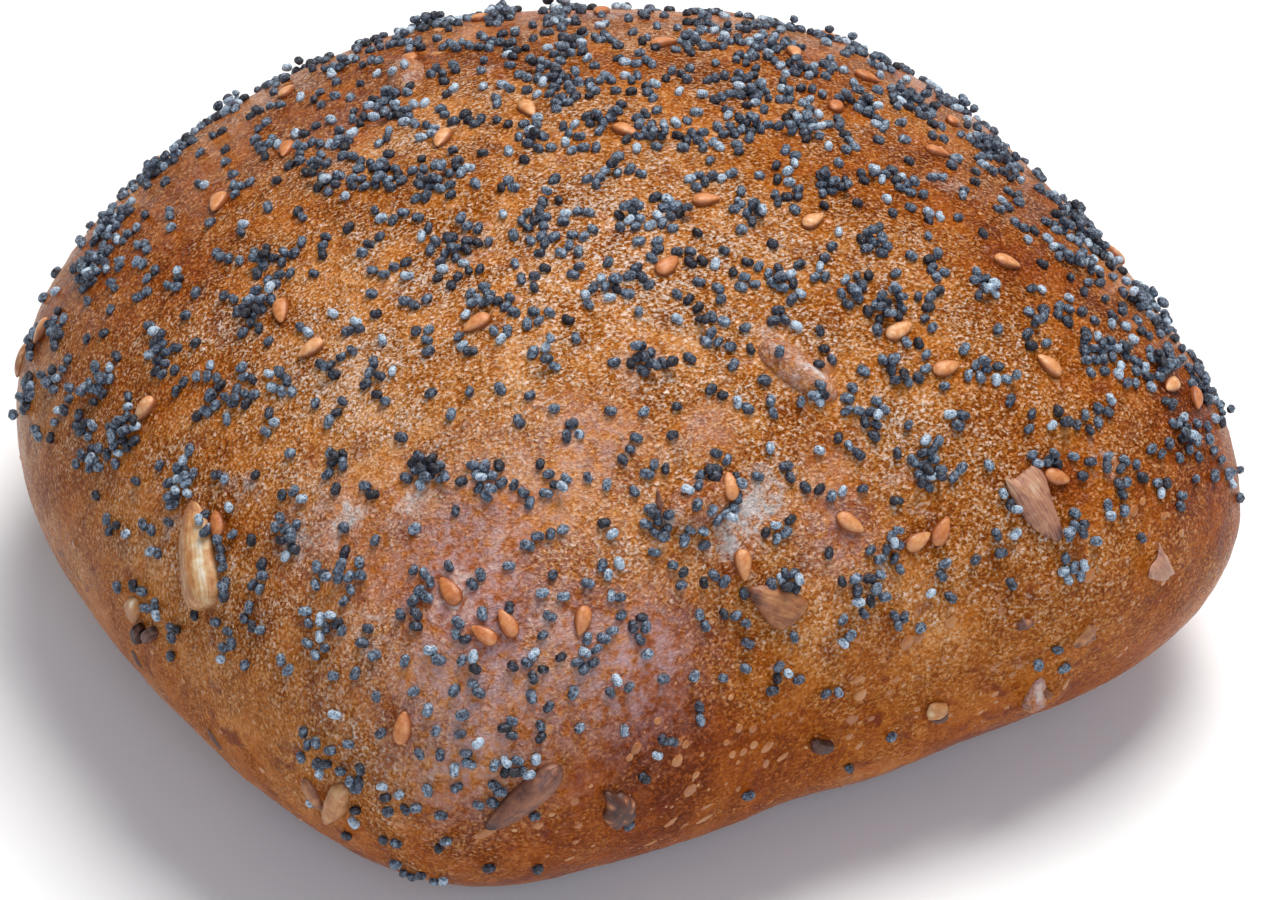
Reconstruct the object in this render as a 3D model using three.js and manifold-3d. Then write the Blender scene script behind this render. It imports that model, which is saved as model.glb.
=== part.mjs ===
// A seeded bread roll: one risen, rounded-square cushion of dough with a browned crust, and with
// sunflower kernels, chips of grain, sesame seeds and poppy seeds baked onto it.
// Millimetres, +Z up. The origin is the middle of the flat base that the roll was baked on.
// A direction is a bearing round the roll (0 at +X, 90 at +Y) and a lift above its widest level,
// both in degrees and both seen from the centre of that level.
import * as THREE from "three";
import { mergeVertices } from "three/addons/utils/BufferGeometryUtils.js";
import Module from "manifold-3d";

const wasm = await Module();
wasm.setup();

// The dough
const rollLength = 102;
const rollWidth = 101.4;
const rollHeight = 50.2;
const widestHeight = 18;
const underReach = 23.4; // how far under the widest level the sides would close without the base
const sideSquareness = 3.55; // 2 is a round plan, more is squarer
const topSquareness = 2.2;
const crownPower = 2.0; // 2 is an elliptic dome
const underPower = 2.25;
const bodyDetail = 11; // splits of each edge of the icosahedron that the body is shaped from
const outlineMiddle = new THREE.Vector2(-0.4, 1.21); // of the outline, seen from its own centre

// Slow waves round the outline: how many to a turn, their height as a share of the reach,
// and the bearing of a crest
const outlineWaves = [
  { count: 2, share: 0.019, crest: -26 },
  { count: 3, share: 0.024, crest: -32.4 },
  { count: 4, share: 0.021, crest: 6.3 },
  { count: 5, share: 0.026, crest: 18 },
];

// Swellings and hollows of the crust: direction, width in degrees and height
const swells = [
  { bearing: 230, lift: 14, width: 13, rise: 1.0 }, // front corner
  { bearing: 252, lift: 12, width: 8, rise: -1.6 }, // valley beside it
  { bearing: 267, lift: 12, width: 9, rise: 0.9 }, // right flank
  { bearing: 279, lift: 9, width: 5, rise: -0.5 },
  { bearing: 291, lift: 7, width: 8, rise: 0.8 },
  { bearing: 328, lift: 18, width: 9, rise: -0.8 },
  { bearing: 288, lift: -5, width: 2.2, rise: 1.4 }, // burst blister low on the flank
  { bearing: 188, lift: 2, width: 9, rise: 0.4 }, // foot, from the left side to the right flank
  { bearing: 215, lift: -4, width: 8, rise: -0.6 },
  { bearing: 240, lift: -10, width: 7, rise: -0.7 },
  { bearing: 255, lift: -10, width: 9, rise: 0.3 },
  { bearing: 272, lift: -12, width: 9, rise: 1.3 },
  { bearing: 198, lift: 58, width: 7, rise: -0.9 }, // hollow in the crown
  { bearing: 182, lift: 64, width: 6, rise: 0.7 },
  { bearing: 240, lift: 50, width: 14, rise: 0.5 },
  { bearing: 135, lift: 25, width: 12, rise: -0.3 },
  { bearing: 20, lift: 8, width: 13, rise: -0.7 }, // far side
  { bearing: 60, lift: 20, width: 14, rise: 0.6 },
];

// Sunflower kernels, broken husks and chips of grain: direction of the middle, turn of the pointed
// end (0 along the level towards a higher bearing, 90 uphill), size, and how much of the thickness
// stands out of the crust
const kernels = [
  { bearing: 195.3, lift: 13.5, turn: 136, size: [9.6, 3.8, 2.4], taper: 0.35, proud: 0.6 },
  { bearing: 233.4, lift: 3.6, turn: 219, size: [8.2, 2.8, 2.2], taper: 0.3, proud: 0.6 },
  { bearing: 290.7, lift: 15, turn: 272, size: [6.4, 4.2, 1.8], taper: 0.6, proud: 0.6 },
  { bearing: 259.5, lift: 15, turn: 318, size: [5.8, 4.2, 1.6], taper: 0.2, proud: 0.5 },
  { bearing: 273, lift: 38.4, turn: 304, size: [7.8, 3.4, 2.2], taper: 0.35, proud: 0.45 },
  { bearing: 251.4, lift: 27, turn: 12, size: [7.2, 3.6, 2.2], taper: 0.35, proud: 0.45 },
  { bearing: 217.2, lift: -0.3, turn: 251, size: [5, 2.8, 1.8], taper: 0.3, proud: 0.55 },
  { bearing: 214.8, lift: -0.6, turn: 302, size: [2.8, 1.5, 1.2], taper: 0.3, proud: 0.5 },
  { bearing: 187.8, lift: 3.6, turn: 306, size: [4.2, 2.6, 1.6], taper: 0.4, proud: 0.5 },
  { bearing: 241.2, lift: 0.6, turn: 301, size: [3.8, 3.4, 2], taper: 0.05, proud: 0.5 },
  { bearing: 299.4, lift: 5.1, turn: 90, size: [3, 2.8, 1], taper: 0.6, proud: 0.5 },
  { bearing: 276, lift: -2.4, turn: 0, size: [2.4, 1.8, 1.4], taper: 0.1, proud: 0.5 },
  { bearing: 88, lift: 14, turn: 60, size: [8.8, 3.6, 2.3], taper: 0.35, proud: 0.6 },
  { bearing: 42, lift: 18, turn: 200, size: [8.4, 3.5, 2.2], taper: 0.35, proud: 0.55 },
];

// Sesame seeds: [bearing, lift, turn of the pointed end]
const sesameSize = [3.3, 1.9, 1.1];
const sesameTaper = 0.45;
const sesameProud = 0.7;
const sesamePlaces = [
  [116, 33, 192], [139, 42, 4], [150, 35, 349], [117, 76, 48], [147, 65, 351], [339, 86, 222],
  [182, 37, 329], [192, 36, 257], [177, 20, 267], [216, 47, 245], [43, 55, 223], [7, 39, 241],
  [354, 50, 316], [356, 31, 304], [341, 39, 260], [285, 67, 340], [301, 54, 353], [258, 58, 17],
  [315, 33, 279], [291, 37, 5], [292, 31, 354], [303, 25, 275], [314, 15, 158], [316, 12, 189],
  [256, 28, 75], [256, 20, 88], [270, 21, 312], [277, 17, 187], [280, 17, 48], [294, 17, 325],
  [196, 17, 144], [225, 20, 137], [229, 17, 329], [231, 18, 118], [238, 18, 243], [223, 9, 91],
  [75, 22, 20], [98, 15, 130], [60, 38, 80], [27, 27, 310], [12, 18, 100], [104, 47, 250],
  [45, 12, 170], [340, 14, 30], [150, 11, 290], [80, 36, 200], [18, 45, 140], [125, 18, 75],
];

// Poppy seeds lie in clumps down to a line that drops to the foot at the front corner
const poppySize = [1.3, 1.1, 1.0];
const poppyProud = 0.75;
const poppyLine = 7;
const frontCorner = { bearing: 226, width: 6, drop: 19 };
const poppyClumps = 132;

// The same numbers every time the file runs
let drawState = 20417;
function draw() {
  drawState = (drawState * 1664525 + 1013904223) % 4294967296;
  return drawState / 4294967296;
}

const radians = THREE.MathUtils.degToRad;

// A unit vector along a direction
function heading(bearing, lift) {
  const level = Math.cos(radians(lift));
  return new THREE.Vector3(
    level * Math.cos(radians(bearing)),
    level * Math.sin(radians(bearing)),
    Math.sin(radians(lift)),
  );
}

const swellHeadings = swells.map((swell) => heading(swell.bearing, swell.lift));

// How far the swellings push the crust out along a unit vector
function swelling(way) {
  return swells.reduce((sum, swell, i) => {
    const apart = way.angleTo(swellHeadings[i]) / radians(swell.width);
    return sum + swell.rise * Math.exp(-apart * apart);
  }, 0);
}

// Reach of the plan outline, squarer at the sides than at the top
function outlineReach(bearing, up) {
  const power = sideSquareness - (sideSquareness - topSquareness) * up;
  const along = Math.abs(Math.cos(bearing)) / (rollLength / 2);
  const across = Math.abs(Math.sin(bearing)) / (rollWidth / 2);
  const wave = outlineWaves.reduce(
    (sum, { count, share, crest }) => sum + share * Math.cos(count * (bearing - radians(crest))),
    1,
  );
  return wave * (along ** power + across ** power) ** (-1 / power);
}

// The point of the crust along a unit vector from the centre of the widest level
function crustPoint(way) {
  const up = Math.max(way.z, 0);
  const reach = outlineReach(Math.atan2(way.y, way.x), up);
  const level = Math.hypot(way.x, way.y) / reach;
  const power = way.z > 0 ? crownPower : underPower;
  const rise = Math.abs(way.z) / (way.z > 0 ? rollHeight - widestHeight : underReach);
  const far = (level ** power + rise ** power) ** (-1 / power) + swelling(way);
  return new THREE.Vector3(
    way.x * far - outlineMiddle.x,
    way.y * far - outlineMiddle.y,
    way.z * far + widestHeight,
  );
}

// A frame standing on the crust: x level towards a higher bearing, y uphill, z out of the crust
function crustFrame(bearing, lift) {
  const step = 0.5;
  const at = (b, l) => crustPoint(heading(b, l));
  const level = at(bearing + step, lift).sub(at(bearing - step, lift));
  const uphill = at(bearing, lift + step).sub(at(bearing, lift - step));
  const out = level.cross(uphill).normalize();
  const east = new THREE.Vector3(0, 0, 1).cross(out).normalize();
  const north = out.clone().cross(east);
  return new THREE.Matrix4().makeBasis(east, north, out).setPosition(at(bearing, lift));
}

// A closed geometry as a solid for joining and cutting
function solid(geometry) {
  const bare = geometry.clone().deleteAttribute("normal").deleteAttribute("uv");
  const merged = mergeVertices(bare);
  return new wasm.Manifold(
    new wasm.Mesh({
      numProp: 3,
      vertProperties: merged.getAttribute("position").array,
      triVerts: new Uint32Array(merged.index.array),
    }),
  );
}

// The dough without its seeds, cut flat where it stood on the tray
function dough() {
  const shape = new THREE.IcosahedronGeometry(1, bodyDetail);
  const position = shape.getAttribute("position");
  const way = new THREE.Vector3();
  for (let i = 0; i < position.count; i++) {
    const point = crustPoint(way.fromBufferAttribute(position, i).normalize());
    position.setXYZ(i, point.x, point.y, point.z);
  }
  const room = 2 * rollLength;
  const aboveTray = new THREE.BoxGeometry(room, room, room).translate(0, 0, room / 2);
  return solid(shape).intersect(solid(aboveTray));
}

// A seed lying along x with its pointed end at +x, as a closed low shape of sides by rings
function seed([length, width, thickness], taper, sides, rings) {
  const shape = new THREE.SphereGeometry(0.5, sides, rings).rotateZ(-Math.PI / 2);
  const position = shape.getAttribute("position");
  for (let i = 0; i < position.count; i++) {
    const narrowing = 1 - taper * 2 * position.getX(i);
    position.setXYZ(
      i,
      position.getX(i) * length,
      position.getY(i) * width * narrowing,
      position.getZ(i) * thickness * narrowing,
    );
  }
  return shape;
}

// Presses a seed into the crust at a direction, turned, with a share of its thickness standing out
function pressed(shape, [bearing, lift, turn], thickness, proud) {
  const place = crustFrame(bearing, lift);
  place.multiply(new THREE.Matrix4().makeRotationZ(radians(turn)));
  place.multiply(new THREE.Matrix4().makeTranslation(0, 0, (proud - 0.5) * thickness));
  return solid(shape.clone().applyMatrix4(place));
}

// Lowest lift of the poppy seeds at a bearing
function poppyFoot(bearing) {
  const apart = (bearing - frontCorner.bearing) / frontCorner.width;
  return poppyLine - frontCorner.drop * Math.exp(-apart * apart);
}

// The middles of the poppy clumps, drawn evenly over the seeded crust
function poppyPlaces() {
  const places = [];
  while (places.length < poppyClumps) {
    const bearing = 360 * draw();
    const lift = THREE.MathUtils.radToDeg(Math.asin(2 * draw() - 1));
    const turn = 360 * draw();
    if (lift > poppyFoot(bearing)) places.push([bearing, lift, turn]);
  }
  return places;
}

function kernelSolids() {
  return kernels.map(({ bearing, lift, turn, size, taper, proud }) =>
    pressed(seed(size, taper, 7, 5), [bearing, lift, turn], size[2], proud),
  );
}

function sesameSolids() {
  const shape = seed(sesameSize, sesameTaper, 5, 4);
  return sesamePlaces.map((place) => pressed(shape, place, sesameSize[2], sesameProud));
}

function poppySolids() {
  const shape = seed(poppySize, 0, 5, 3);
  return poppyPlaces().map((place) => pressed(shape, place, poppySize[2], poppyProud));
}

// The roll with everything on it as one closed solid, without scraps
function rollSolid() {
  const pieces = [...kernelSolids(), ...sesameSolids(), ...poppySolids()];
  const joined = pieces.reduce((whole, piece) => whole.add(piece), dough());
  const bodies = joined.decompose();
  return bodies.reduce((largest, body) => (body.volume() > largest.volume() ? body : largest));
}

function geometryOf(made) {
  const { vertProperties, triVerts } = made.getMesh();
  const geometry = new THREE.BufferGeometry();
  geometry.setAttribute("position", new THREE.BufferAttribute(vertProperties, 3));
  geometry.setIndex(new THREE.BufferAttribute(triVerts, 1));
  geometry.computeVertexNormals();
  return geometry;
}

const crust = new THREE.MeshStandardMaterial({ color: 0xa3683a, roughness: 0.55, metalness: 0 });

const roll = new THREE.Mesh(geometryOf(rollSolid()), crust);
roll.name = "roll";

const group = new THREE.Group();
group.add(roll);

export default group;
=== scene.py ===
import math

import bpy
import numpy as np
from mathutils import Matrix, Vector
from mathutils.bvhtree import BVHTree


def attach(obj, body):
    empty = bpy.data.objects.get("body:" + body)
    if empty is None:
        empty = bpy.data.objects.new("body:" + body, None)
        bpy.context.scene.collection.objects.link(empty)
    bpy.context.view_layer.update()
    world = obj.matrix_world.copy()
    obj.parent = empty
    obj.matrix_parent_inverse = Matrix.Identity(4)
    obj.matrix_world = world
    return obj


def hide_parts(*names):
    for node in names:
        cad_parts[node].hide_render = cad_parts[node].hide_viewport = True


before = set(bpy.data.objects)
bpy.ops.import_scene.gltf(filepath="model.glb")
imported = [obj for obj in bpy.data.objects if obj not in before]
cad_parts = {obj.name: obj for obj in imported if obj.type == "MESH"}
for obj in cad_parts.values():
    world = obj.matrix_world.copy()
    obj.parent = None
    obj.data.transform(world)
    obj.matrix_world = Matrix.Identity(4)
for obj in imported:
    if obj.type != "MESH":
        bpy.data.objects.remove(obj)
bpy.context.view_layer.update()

# A seeded bread roll. Lengths are in millimetres until a mesh is made, then in metres.
# A direction is a bearing round the roll and a lift above its widest level, in degrees.
mm = 0.001

dough = dict(
    length=102, width=101.4, height=50.2, middle=(-0.4, 1.21),
    widestHeight=18, underReach=23.4,         # height of the widest level, reach of the form below it
    sideSquareness=3.55, topSquareness=2.2,   # 2 is round, higher is squarer
    crownPower=2.0, underPower=2.25,
    baseEdge=26,                              # higher is a sharper edge round the base
    cells=126, gather=0.26)                   # squares along each edge of the cube it is shaped from

# slow waves round the outline: how many to a turn, share of the reach, bearing of a crest
outlineWaves = [(2, 0.019, -26), (3, 0.024, -32.4), (4, 0.021, 6.3), (5, 0.026, 18)]

# swellings and hollows: bearing, lift, width in degrees, height
swells = [
    (230, 14, 13, 1), (252, 12, 8, -1.6), (267, 12, 9, 0.9), (279, 9, 5, -0.5), (291, 7, 8, 0.8),
    (328, 18, 9, -0.8), (288, -5, 2.2, 1.4), (188, 2, 9, 0.4), (215, -4, 8, -0.6), (240, -10, 7, -0.7),
    (255, -10, 9, 0.3), (272, -12, 9, 1.3), (198, 58, 7, -0.9), (182, 64, 6, 0.7), (240, 50, 14, 0.5),
    (135, 25, 12, -0.3), (20, 8, 13, -0.7), (60, 20, 14, 0.6),
]

poppyLine = 7                     # lowest lift of the poppy seeds
frontCorner = (226, 6, 19)        # where they run down to the foot: bearing, width, drop

drawState = 20417


def draw():
    global drawState
    drawState = (drawState * 1664525 + 1013904223) % 4294967296
    return drawState / 4294967296


def heading(bearing, lift):
    b, l = np.radians(bearing), np.radians(lift)
    return np.stack([np.cos(l) * np.cos(b), np.cos(l) * np.sin(b), np.sin(l) * np.ones_like(b)], -1)


def nearness(ways, bearing, lift, width):
    # 1 at a direction, falling off over width degrees
    apart = np.degrees(np.arccos(np.clip(ways @ heading(bearing, lift), -1, 1)))
    return np.exp(-((apart / width) ** 2))


def spots(ways, rows):
    # the sum of rows of (bearing, lift, width, share)
    return sum(share * nearness(ways, bearing, lift, width) for bearing, lift, width, share in rows)


def crustReach(ways):
    # how far the crust lies from the middle of the widest level, along unit vectors
    up = np.maximum(ways[:, 2], 0)
    turn = np.arctan2(ways[:, 1], ways[:, 0])
    power = dough["sideSquareness"] - (dough["sideSquareness"] - dough["topSquareness"]) * up
    along = np.abs(np.cos(turn)) / (dough["length"] / 2)
    across = np.abs(np.sin(turn)) / (dough["width"] / 2)
    wave = 1 + sum(share * np.cos(count * (turn - math.radians(crest)))
                   for count, share, crest in outlineWaves)
    reach = wave * (along ** power + across ** power) ** (-1 / power)
    level = np.hypot(ways[:, 0], ways[:, 1]) / reach
    above = ways[:, 2] > 0
    roundness = np.where(above, dough["crownPower"], dough["underPower"])
    rise = np.abs(ways[:, 2]) / np.where(above, dough["height"] - dough["widestHeight"], dough["underReach"])
    far = (level ** roundness + rise ** roundness) ** (-1 / roundness)
    for bearing, lift, width, height in swells:
        far = far + height * nearness(ways, bearing, lift, width)
    return far


def fromReach(ways, far):
    points = ways * far[:, None]
    points[:, 0] -= dough["middle"][0]
    points[:, 1] -= dough["middle"][1]
    points[:, 2] += dough["widestHeight"]
    return points


def crustPoint(bearing, lift):
    way = heading(bearing, lift)[None]
    return fromReach(way, crustReach(way))[0]


def crustFrame(bearing, lift, turn=0, step=0.5):
    # a frame standing on the crust: x level, y uphill, z out, then turned about z
    level = crustPoint(bearing + step, lift) - crustPoint(bearing - step, lift)
    uphill = crustPoint(bearing, lift + step) - crustPoint(bearing, lift - step)
    out = Vector(np.cross(level, uphill)).normalized()
    east = Vector((0, 0, 1)).cross(out).normalized()
    north = out.cross(east)
    place = Matrix((east, north, out)).transposed().to_4x4()
    place.translation = Vector(crustPoint(bearing, lift))
    return place @ Matrix.Rotation(math.radians(turn), 4, "Z")


def poppyFoot(bearing):
    apart = (bearing - frontCorner[0]) / frontCorner[1]
    return poppyLine - frontCorner[2] * np.exp(-apart * apart)


def newMesh(name, points, faces, attributes=None):
    mesh = bpy.data.meshes.new(name)
    mesh.from_pydata((np.asarray(points) * mm).tolist(), [], [list(face) for face in faces])
    for key, values in (attributes or {}).items():
        values = np.asarray(values, float)
        kind, field = ("FLOAT_VECTOR", "vector") if values.ndim == 2 else ("FLOAT", "value")
        mesh.attributes.new(key, kind, "POINT").data.foreach_set(field, values.ravel())
    mesh.update()
    piece = bpy.data.objects.new(name, mesh)
    bpy.context.scene.collection.objects.link(piece)
    return piece


def treeOf(mesh):
    # a mesh as a search tree in millimetres
    faces = [tuple(face.vertices) for face in mesh.polygons]
    return BVHTree.FromPolygons([point.co / mm for point in mesh.vertices], faces)


def isSocket(value):
    return isinstance(value, bpy.types.NodeSocket)


def put(tree, kind, feeds=None, **settings):
    # adds a node to the right of what feeds it, with its sockets linked or set
    made = tree.nodes.new(kind)
    for name, value in settings.items():
        setattr(made, name, value)
    feeders = []
    for socket, value in (feeds or {}).items():
        if isSocket(value):
            tree.links.new(value, made.inputs[socket])
            feeders.append(value.node.location)
        else:
            made.inputs[socket].default_value = value
    if feeders:
        made.location = (max(at.x for at in feeders) + 200, sum(at.y for at in feeders) / len(feeders))
    else:
        made.location = (-1600, -160 * len(tree.nodes))
    return made


def newTree(name, kind, inputs, outputs):
    tree = bpy.data.node_groups.new(name, kind)
    for label, socket, value in inputs:
        made = tree.interface.new_socket(label, in_out="INPUT", socket_type="NodeSocket" + socket)
        if value is not None:
            made.default_value = value
    for label, socket in outputs:
        tree.interface.new_socket(label, in_out="OUTPUT", socket_type="NodeSocket" + socket)
    given, out = put(tree, "NodeGroupInput"), put(tree, "NodeGroupOutput")
    out.location = (1400, 0)
    return tree, given.outputs, out.inputs


def grow(piece, tree, values, material):
    # runs a geometry tree on a piece and keeps the plain mesh that comes out
    shaping = piece.modifiers.new("grow", "NODES")
    shaping.node_group = tree
    slots = {item.name: item.identifier for item in tree.interface.items_tree if item.in_out == "INPUT"}
    for label, value in values.items():
        shaping[slots[label]] = value
    shaping[slots["Material"]] = material
    shown = piece.evaluated_get(bpy.context.evaluated_depsgraph_get())
    mesh = bpy.data.meshes.new_from_object(shown)
    mesh.name = piece.name
    piece.modifiers.clear()
    piece.data = mesh
    return piece


def maths(kind, a, b=None, **settings):
    tree = (a if isSocket(a) else b).id_data
    feeds = {0: a} if b is None else {0: a, 1: b}
    return put(tree, "ShaderNodeMath", feeds, operation=kind, **settings).outputs[0]


def plus(a, b):
    return maths("ADD", a, b)


def less(a, b):
    return maths("SUBTRACT", a, b)


def times(a, b, **settings):
    return maths("MULTIPLY", a, b, **settings)


def between(value, low, high, toLow=0.0, toHigh=1.0):
    # low to high becomes toLow to toHigh, with nothing past either end
    return put(value.id_data, "ShaderNodeMapRange", {"Value": value, "From Min": low, "From Max": high,
               "To Min": toLow, "To Max": toHigh}).outputs[0]


def noise(where, scale, **feeds):
    return put(where.id_data, "ShaderNodeTexNoise", {"Vector": where, "Scale": scale, **feeds}).outputs


def vectors(kind, a, feeds):
    return put(a.id_data, "ShaderNodeVectorMath", {0: a, **feeds}, operation=kind).outputs[0]


def tint(red, green, blue):
    # a colour given as it looks on a screen
    def light(value):
        value = value / 255
        return value / 12.92 if value <= 0.04045 else ((value + 0.055) / 1.055) ** 2.4
    return (light(red), light(green), light(blue), 1)


def ramp(value, stops):
    made = put(value.id_data, "ShaderNodeValToRGB", {0: value})
    ends = made.color_ramp.elements
    for end, (place, colour) in ((ends[0], stops[0]), (ends[1], stops[-1])):
        end.position = place
        end.color = tint(*colour)
    for place, colour in stops[1:-1]:
        ends.new(place).color = tint(*colour)
    return made.outputs[0]


def paint(share, under, over):
    # lays a share of a colour over what is there
    feeds = {0: share, 6: under, 7: tint(*over)}
    return put(under.id_data, "ShaderNodeMix", feeds, data_type="RGBA").outputs[2]


def effect(group, **feeds):
    tree = next(value for value in feeds.values() if isSocket(value)).id_data
    return put(tree, "ShaderNodeGroup", feeds, node_tree=group).outputs


# Effects that several materials share. A grain is a size in millimetres.
mottle, given, out = newTree("Mottle", "ShaderNodeTree",
    [("Vector", "Vector", None), ("Grain", "Float", 1.0), ("Detail", "Float", 2.0), ("Warp", "Float", 0.0)],
    [("Value", "Float")])
finer = maths("DIVIDE", 1000.0, given["Grain"])
cloud = noise(given["Vector"], finer, Detail=given["Detail"], Roughness=0.55, Distortion=given["Warp"])
mottle.links.new(between(cloud[0], 0.28, 0.72), out["Value"])

crumple, given, out = newTree("Crumpled skin", "ShaderNodeTree",
    [("Vector", "Vector", None), ("Grain", "Float", 0.5), ("Flow", "Float", 1.0)],
    [("Height", "Float"), ("Crack", "Float")])
finer = maths("DIVIDE", 1000.0, given["Grain"])
wider = times(finer, 0.28)
warp = noise(given["Vector"], wider, Detail=1.0)["Color"]
push = vectors("SCALE", vectors("SUBTRACT", warp, {1: (0.5, 0.5, 0.5)}),
               {"Scale": times(times(given["Grain"], 0.004), given["Flow"])})
shifted = vectors("ADD", given["Vector"], {1: push})
lumps = between(noise(shifted, finer, Detail=3.0, Roughness=0.6)[0], 0.3, 0.7)
crease = maths("ABSOLUTE", less(noise(shifted, wider, Detail=3.0, Roughness=0.7)[0], 0.5))
both = plus(times(lumps, 0.7), times(between(crease, 0.0, 0.12), 0.3))
crumple.links.new(both, out["Height"])
crumple.links.new(between(both, 0.42, 0.1), out["Crack"])

fibres, given, out = newTree("Fibres", "ShaderNodeTree",
    [("Across", "Float", 0.0), ("Along", "Float", 0.0), ("Count", "Float", 20.0)], [("Value", "Float")])
thread = put(fibres, "ShaderNodeCombineXYZ", {0: times(given["Across"], given["Count"]),
             1: times(given["Along"], 1.3)}).outputs[0]
fibres.links.new(between(noise(thread, 1.0, Detail=2.0)[0], 0.3, 0.7), out["Value"])


def mottled(where, grain, detail=2.0, warp=0.0):
    return effect(mottle, Vector=where, Grain=grain, Detail=detail, Warp=warp)["Value"]


def attributes(tree, *names):
    return [put(tree, "ShaderNodeAttribute", attribute_name=name).outputs["Fac"] for name in names]


def newMaterial(name, **looks):
    # a material with plain values set on its shader
    material = bpy.data.materials.new(name)
    material.use_nodes = True
    tree = material.node_tree
    tree.nodes.clear()
    shader = put(tree, "ShaderNodeBsdfPrincipled")
    shader.location = (3000, 0)
    for socket, value in looks.items():
        shader.inputs[socket.replace("_", " ")].default_value = value
    put(tree, "ShaderNodeOutputMaterial", {0: shader.outputs[0]})
    return material, tree, shader.inputs, put(tree, "ShaderNodeTexCoord").outputs["Object"]


def emboss(surface, height, strength, distance, invert=False):
    # small relief on the surface, distance in millimetres
    bump = put(height.id_data, "ShaderNodeBump", {"Height": height, "Strength": strength,
               "Distance": distance * mm}, invert=invert)
    bump.id_data.links.new(bump.outputs[0], surface["Normal"])


# the look of the crust: shades of the browning from dark to pale, colours laid over them, among them painted
# shade in the grooves, painted highlights and a painted rosy sheen, and mottles, each (grain, detail, warp)
crustLook = dict(
    bake=[(0.05, (58, 14, 0)), (0.24, (112, 42, 0)), (0.42, (158, 77, 7)), (0.58, (190, 113, 42)),
          (0.74, (215, 153, 96)), (0.95, (244, 211, 190))],
    red=(118, 40, 18), paintedGrooveShade=(122, 56, 8), paintedGlint=(250, 226, 216), crack=(84, 30, 8), rosySheen=(178, 146, 148),
    film=(216, 182, 166), peeled=(206, 194, 188), base=(120, 66, 26),
    wide=(15.0, 2.0, 0.0), middle=(4.2, 3.0, 0.0), small=(1.2, 3.0, 0.6), spark=(0.8, 2.0, 0.0),
    speck=(0.27, 1.0, 0.5), ruddy=(2.6, 2.0, 0.4), torn=(1.7, 4.0, 1.0), patchy=(5.5, 2.0, 0.5),
    wrinkle=(0.30, 3.0, 0.5), strand=(0.75, 3.0, 0.8),
    # lit shifts the wrinkles to the side where their painted highlights sit
    lit=(0.00002, -0.00006, -0.00008),        # from a wrinkle to its lit side, in metres
    relief=0.27)

crust, tree, surface, where = newMaterial("crust", Specular_IOR_Level=0.08, Specular_Tint=(1.0, 0.9, 0.8, 1))
# given on the points: browning with painted shade and broad highlights, bareness of seeds, torn skin, the
# underside, and where a painted rosy sheen lies, with more painted glints where it is negative
browned, bare, skin, under, dull = attributes(tree, "browned", "bare", "skin", "under", "dull")
combed = put(tree, "ShaderNodeMapping", {"Vector": where, "Scale": (0.84, 1.08, 1.08)}).outputs[0]
stretched = put(tree, "ShaderNodeMapping", {"Vector": where, "Scale": (1.0, 1.0, 0.22)}).outputs[0]
wide, middle, small, spark, speck, ruddy, torn, patchy = [
    mottled(where, *crustLook[name])
    for name in ("wide", "middle", "small", "spark", "speck", "ruddy", "torn", "patchy")]
wrinkle = mottled(combed, *crustLook["wrinkle"])
lit = mottled(vectors("ADD", combed, {1: crustLook["lit"]}), *crustLook["wrinkle"])

# how strongly the skin is dried into small bumps: much on the crown, little on the flank and in patches
dried = times(between(bare, 0.0, 1.0, 1.0, 0.5), between(patchy, 0.2, 0.8, 0.5, 1.2))
fleck = plus(times(less(between(wrinkle, 0.3, 0.9), 0.3), 0.52), times(less(speck, 0.5), 0.22))
fleck = times(fleck, times(dried, between(dull, -1.0, 1.0, 1.4, 0.3)))
bake = plus(plus(times(wide, 0.20), times(middle, 0.13)), times(small, 0.12))
bake = plus(bake, less(fleck, times(dull, 0.05)))
bake = less(plus(bake, 0.37), browned)
colour = ramp(bake, crustLook["bake"])
redness = times(between(ruddy, 0.66, 0.98), between(bare, 0.0, 1.0, 0.45, 0.8))
colour = paint(redness, colour, crustLook["red"])

# painted shade between the wrinkles, painted highlights on their lit sides
paintedGrooveShade = times(between(wrinkle, 0.38, 0.04, 0.0, 0.7), dried)
# painted highlights on the lit sides of the wrinkles, most on the crown
paintedGlint = times(between(lit, 0.60, 0.96, 0.0, 0.9), between(spark, 0.2, 0.7, 0.25, 1.0))
paintedGlint = times(paintedGlint, times(dried, between(dull, -1.0, 1.0, 1.6, 0.3)))
paintedGlint = times(paintedGlint, between(bare, 0.0, 1.0, 1.0, 0.3))
paintedGlint = times(paintedGlint, between(browned, 0.0, 0.14, 1.05, 0.45))
crack = times(effect(crumple, Vector=where, Grain=0.5, Flow=0.4)["Crack"], 0.4)
colour = paint(paintedGrooveShade, colour, crustLook["paintedGrooveShade"])
colour = paint(paintedGlint, colour, crustLook["paintedGlint"])
colour = paint(crack, colour, crustLook["crack"])

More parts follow.
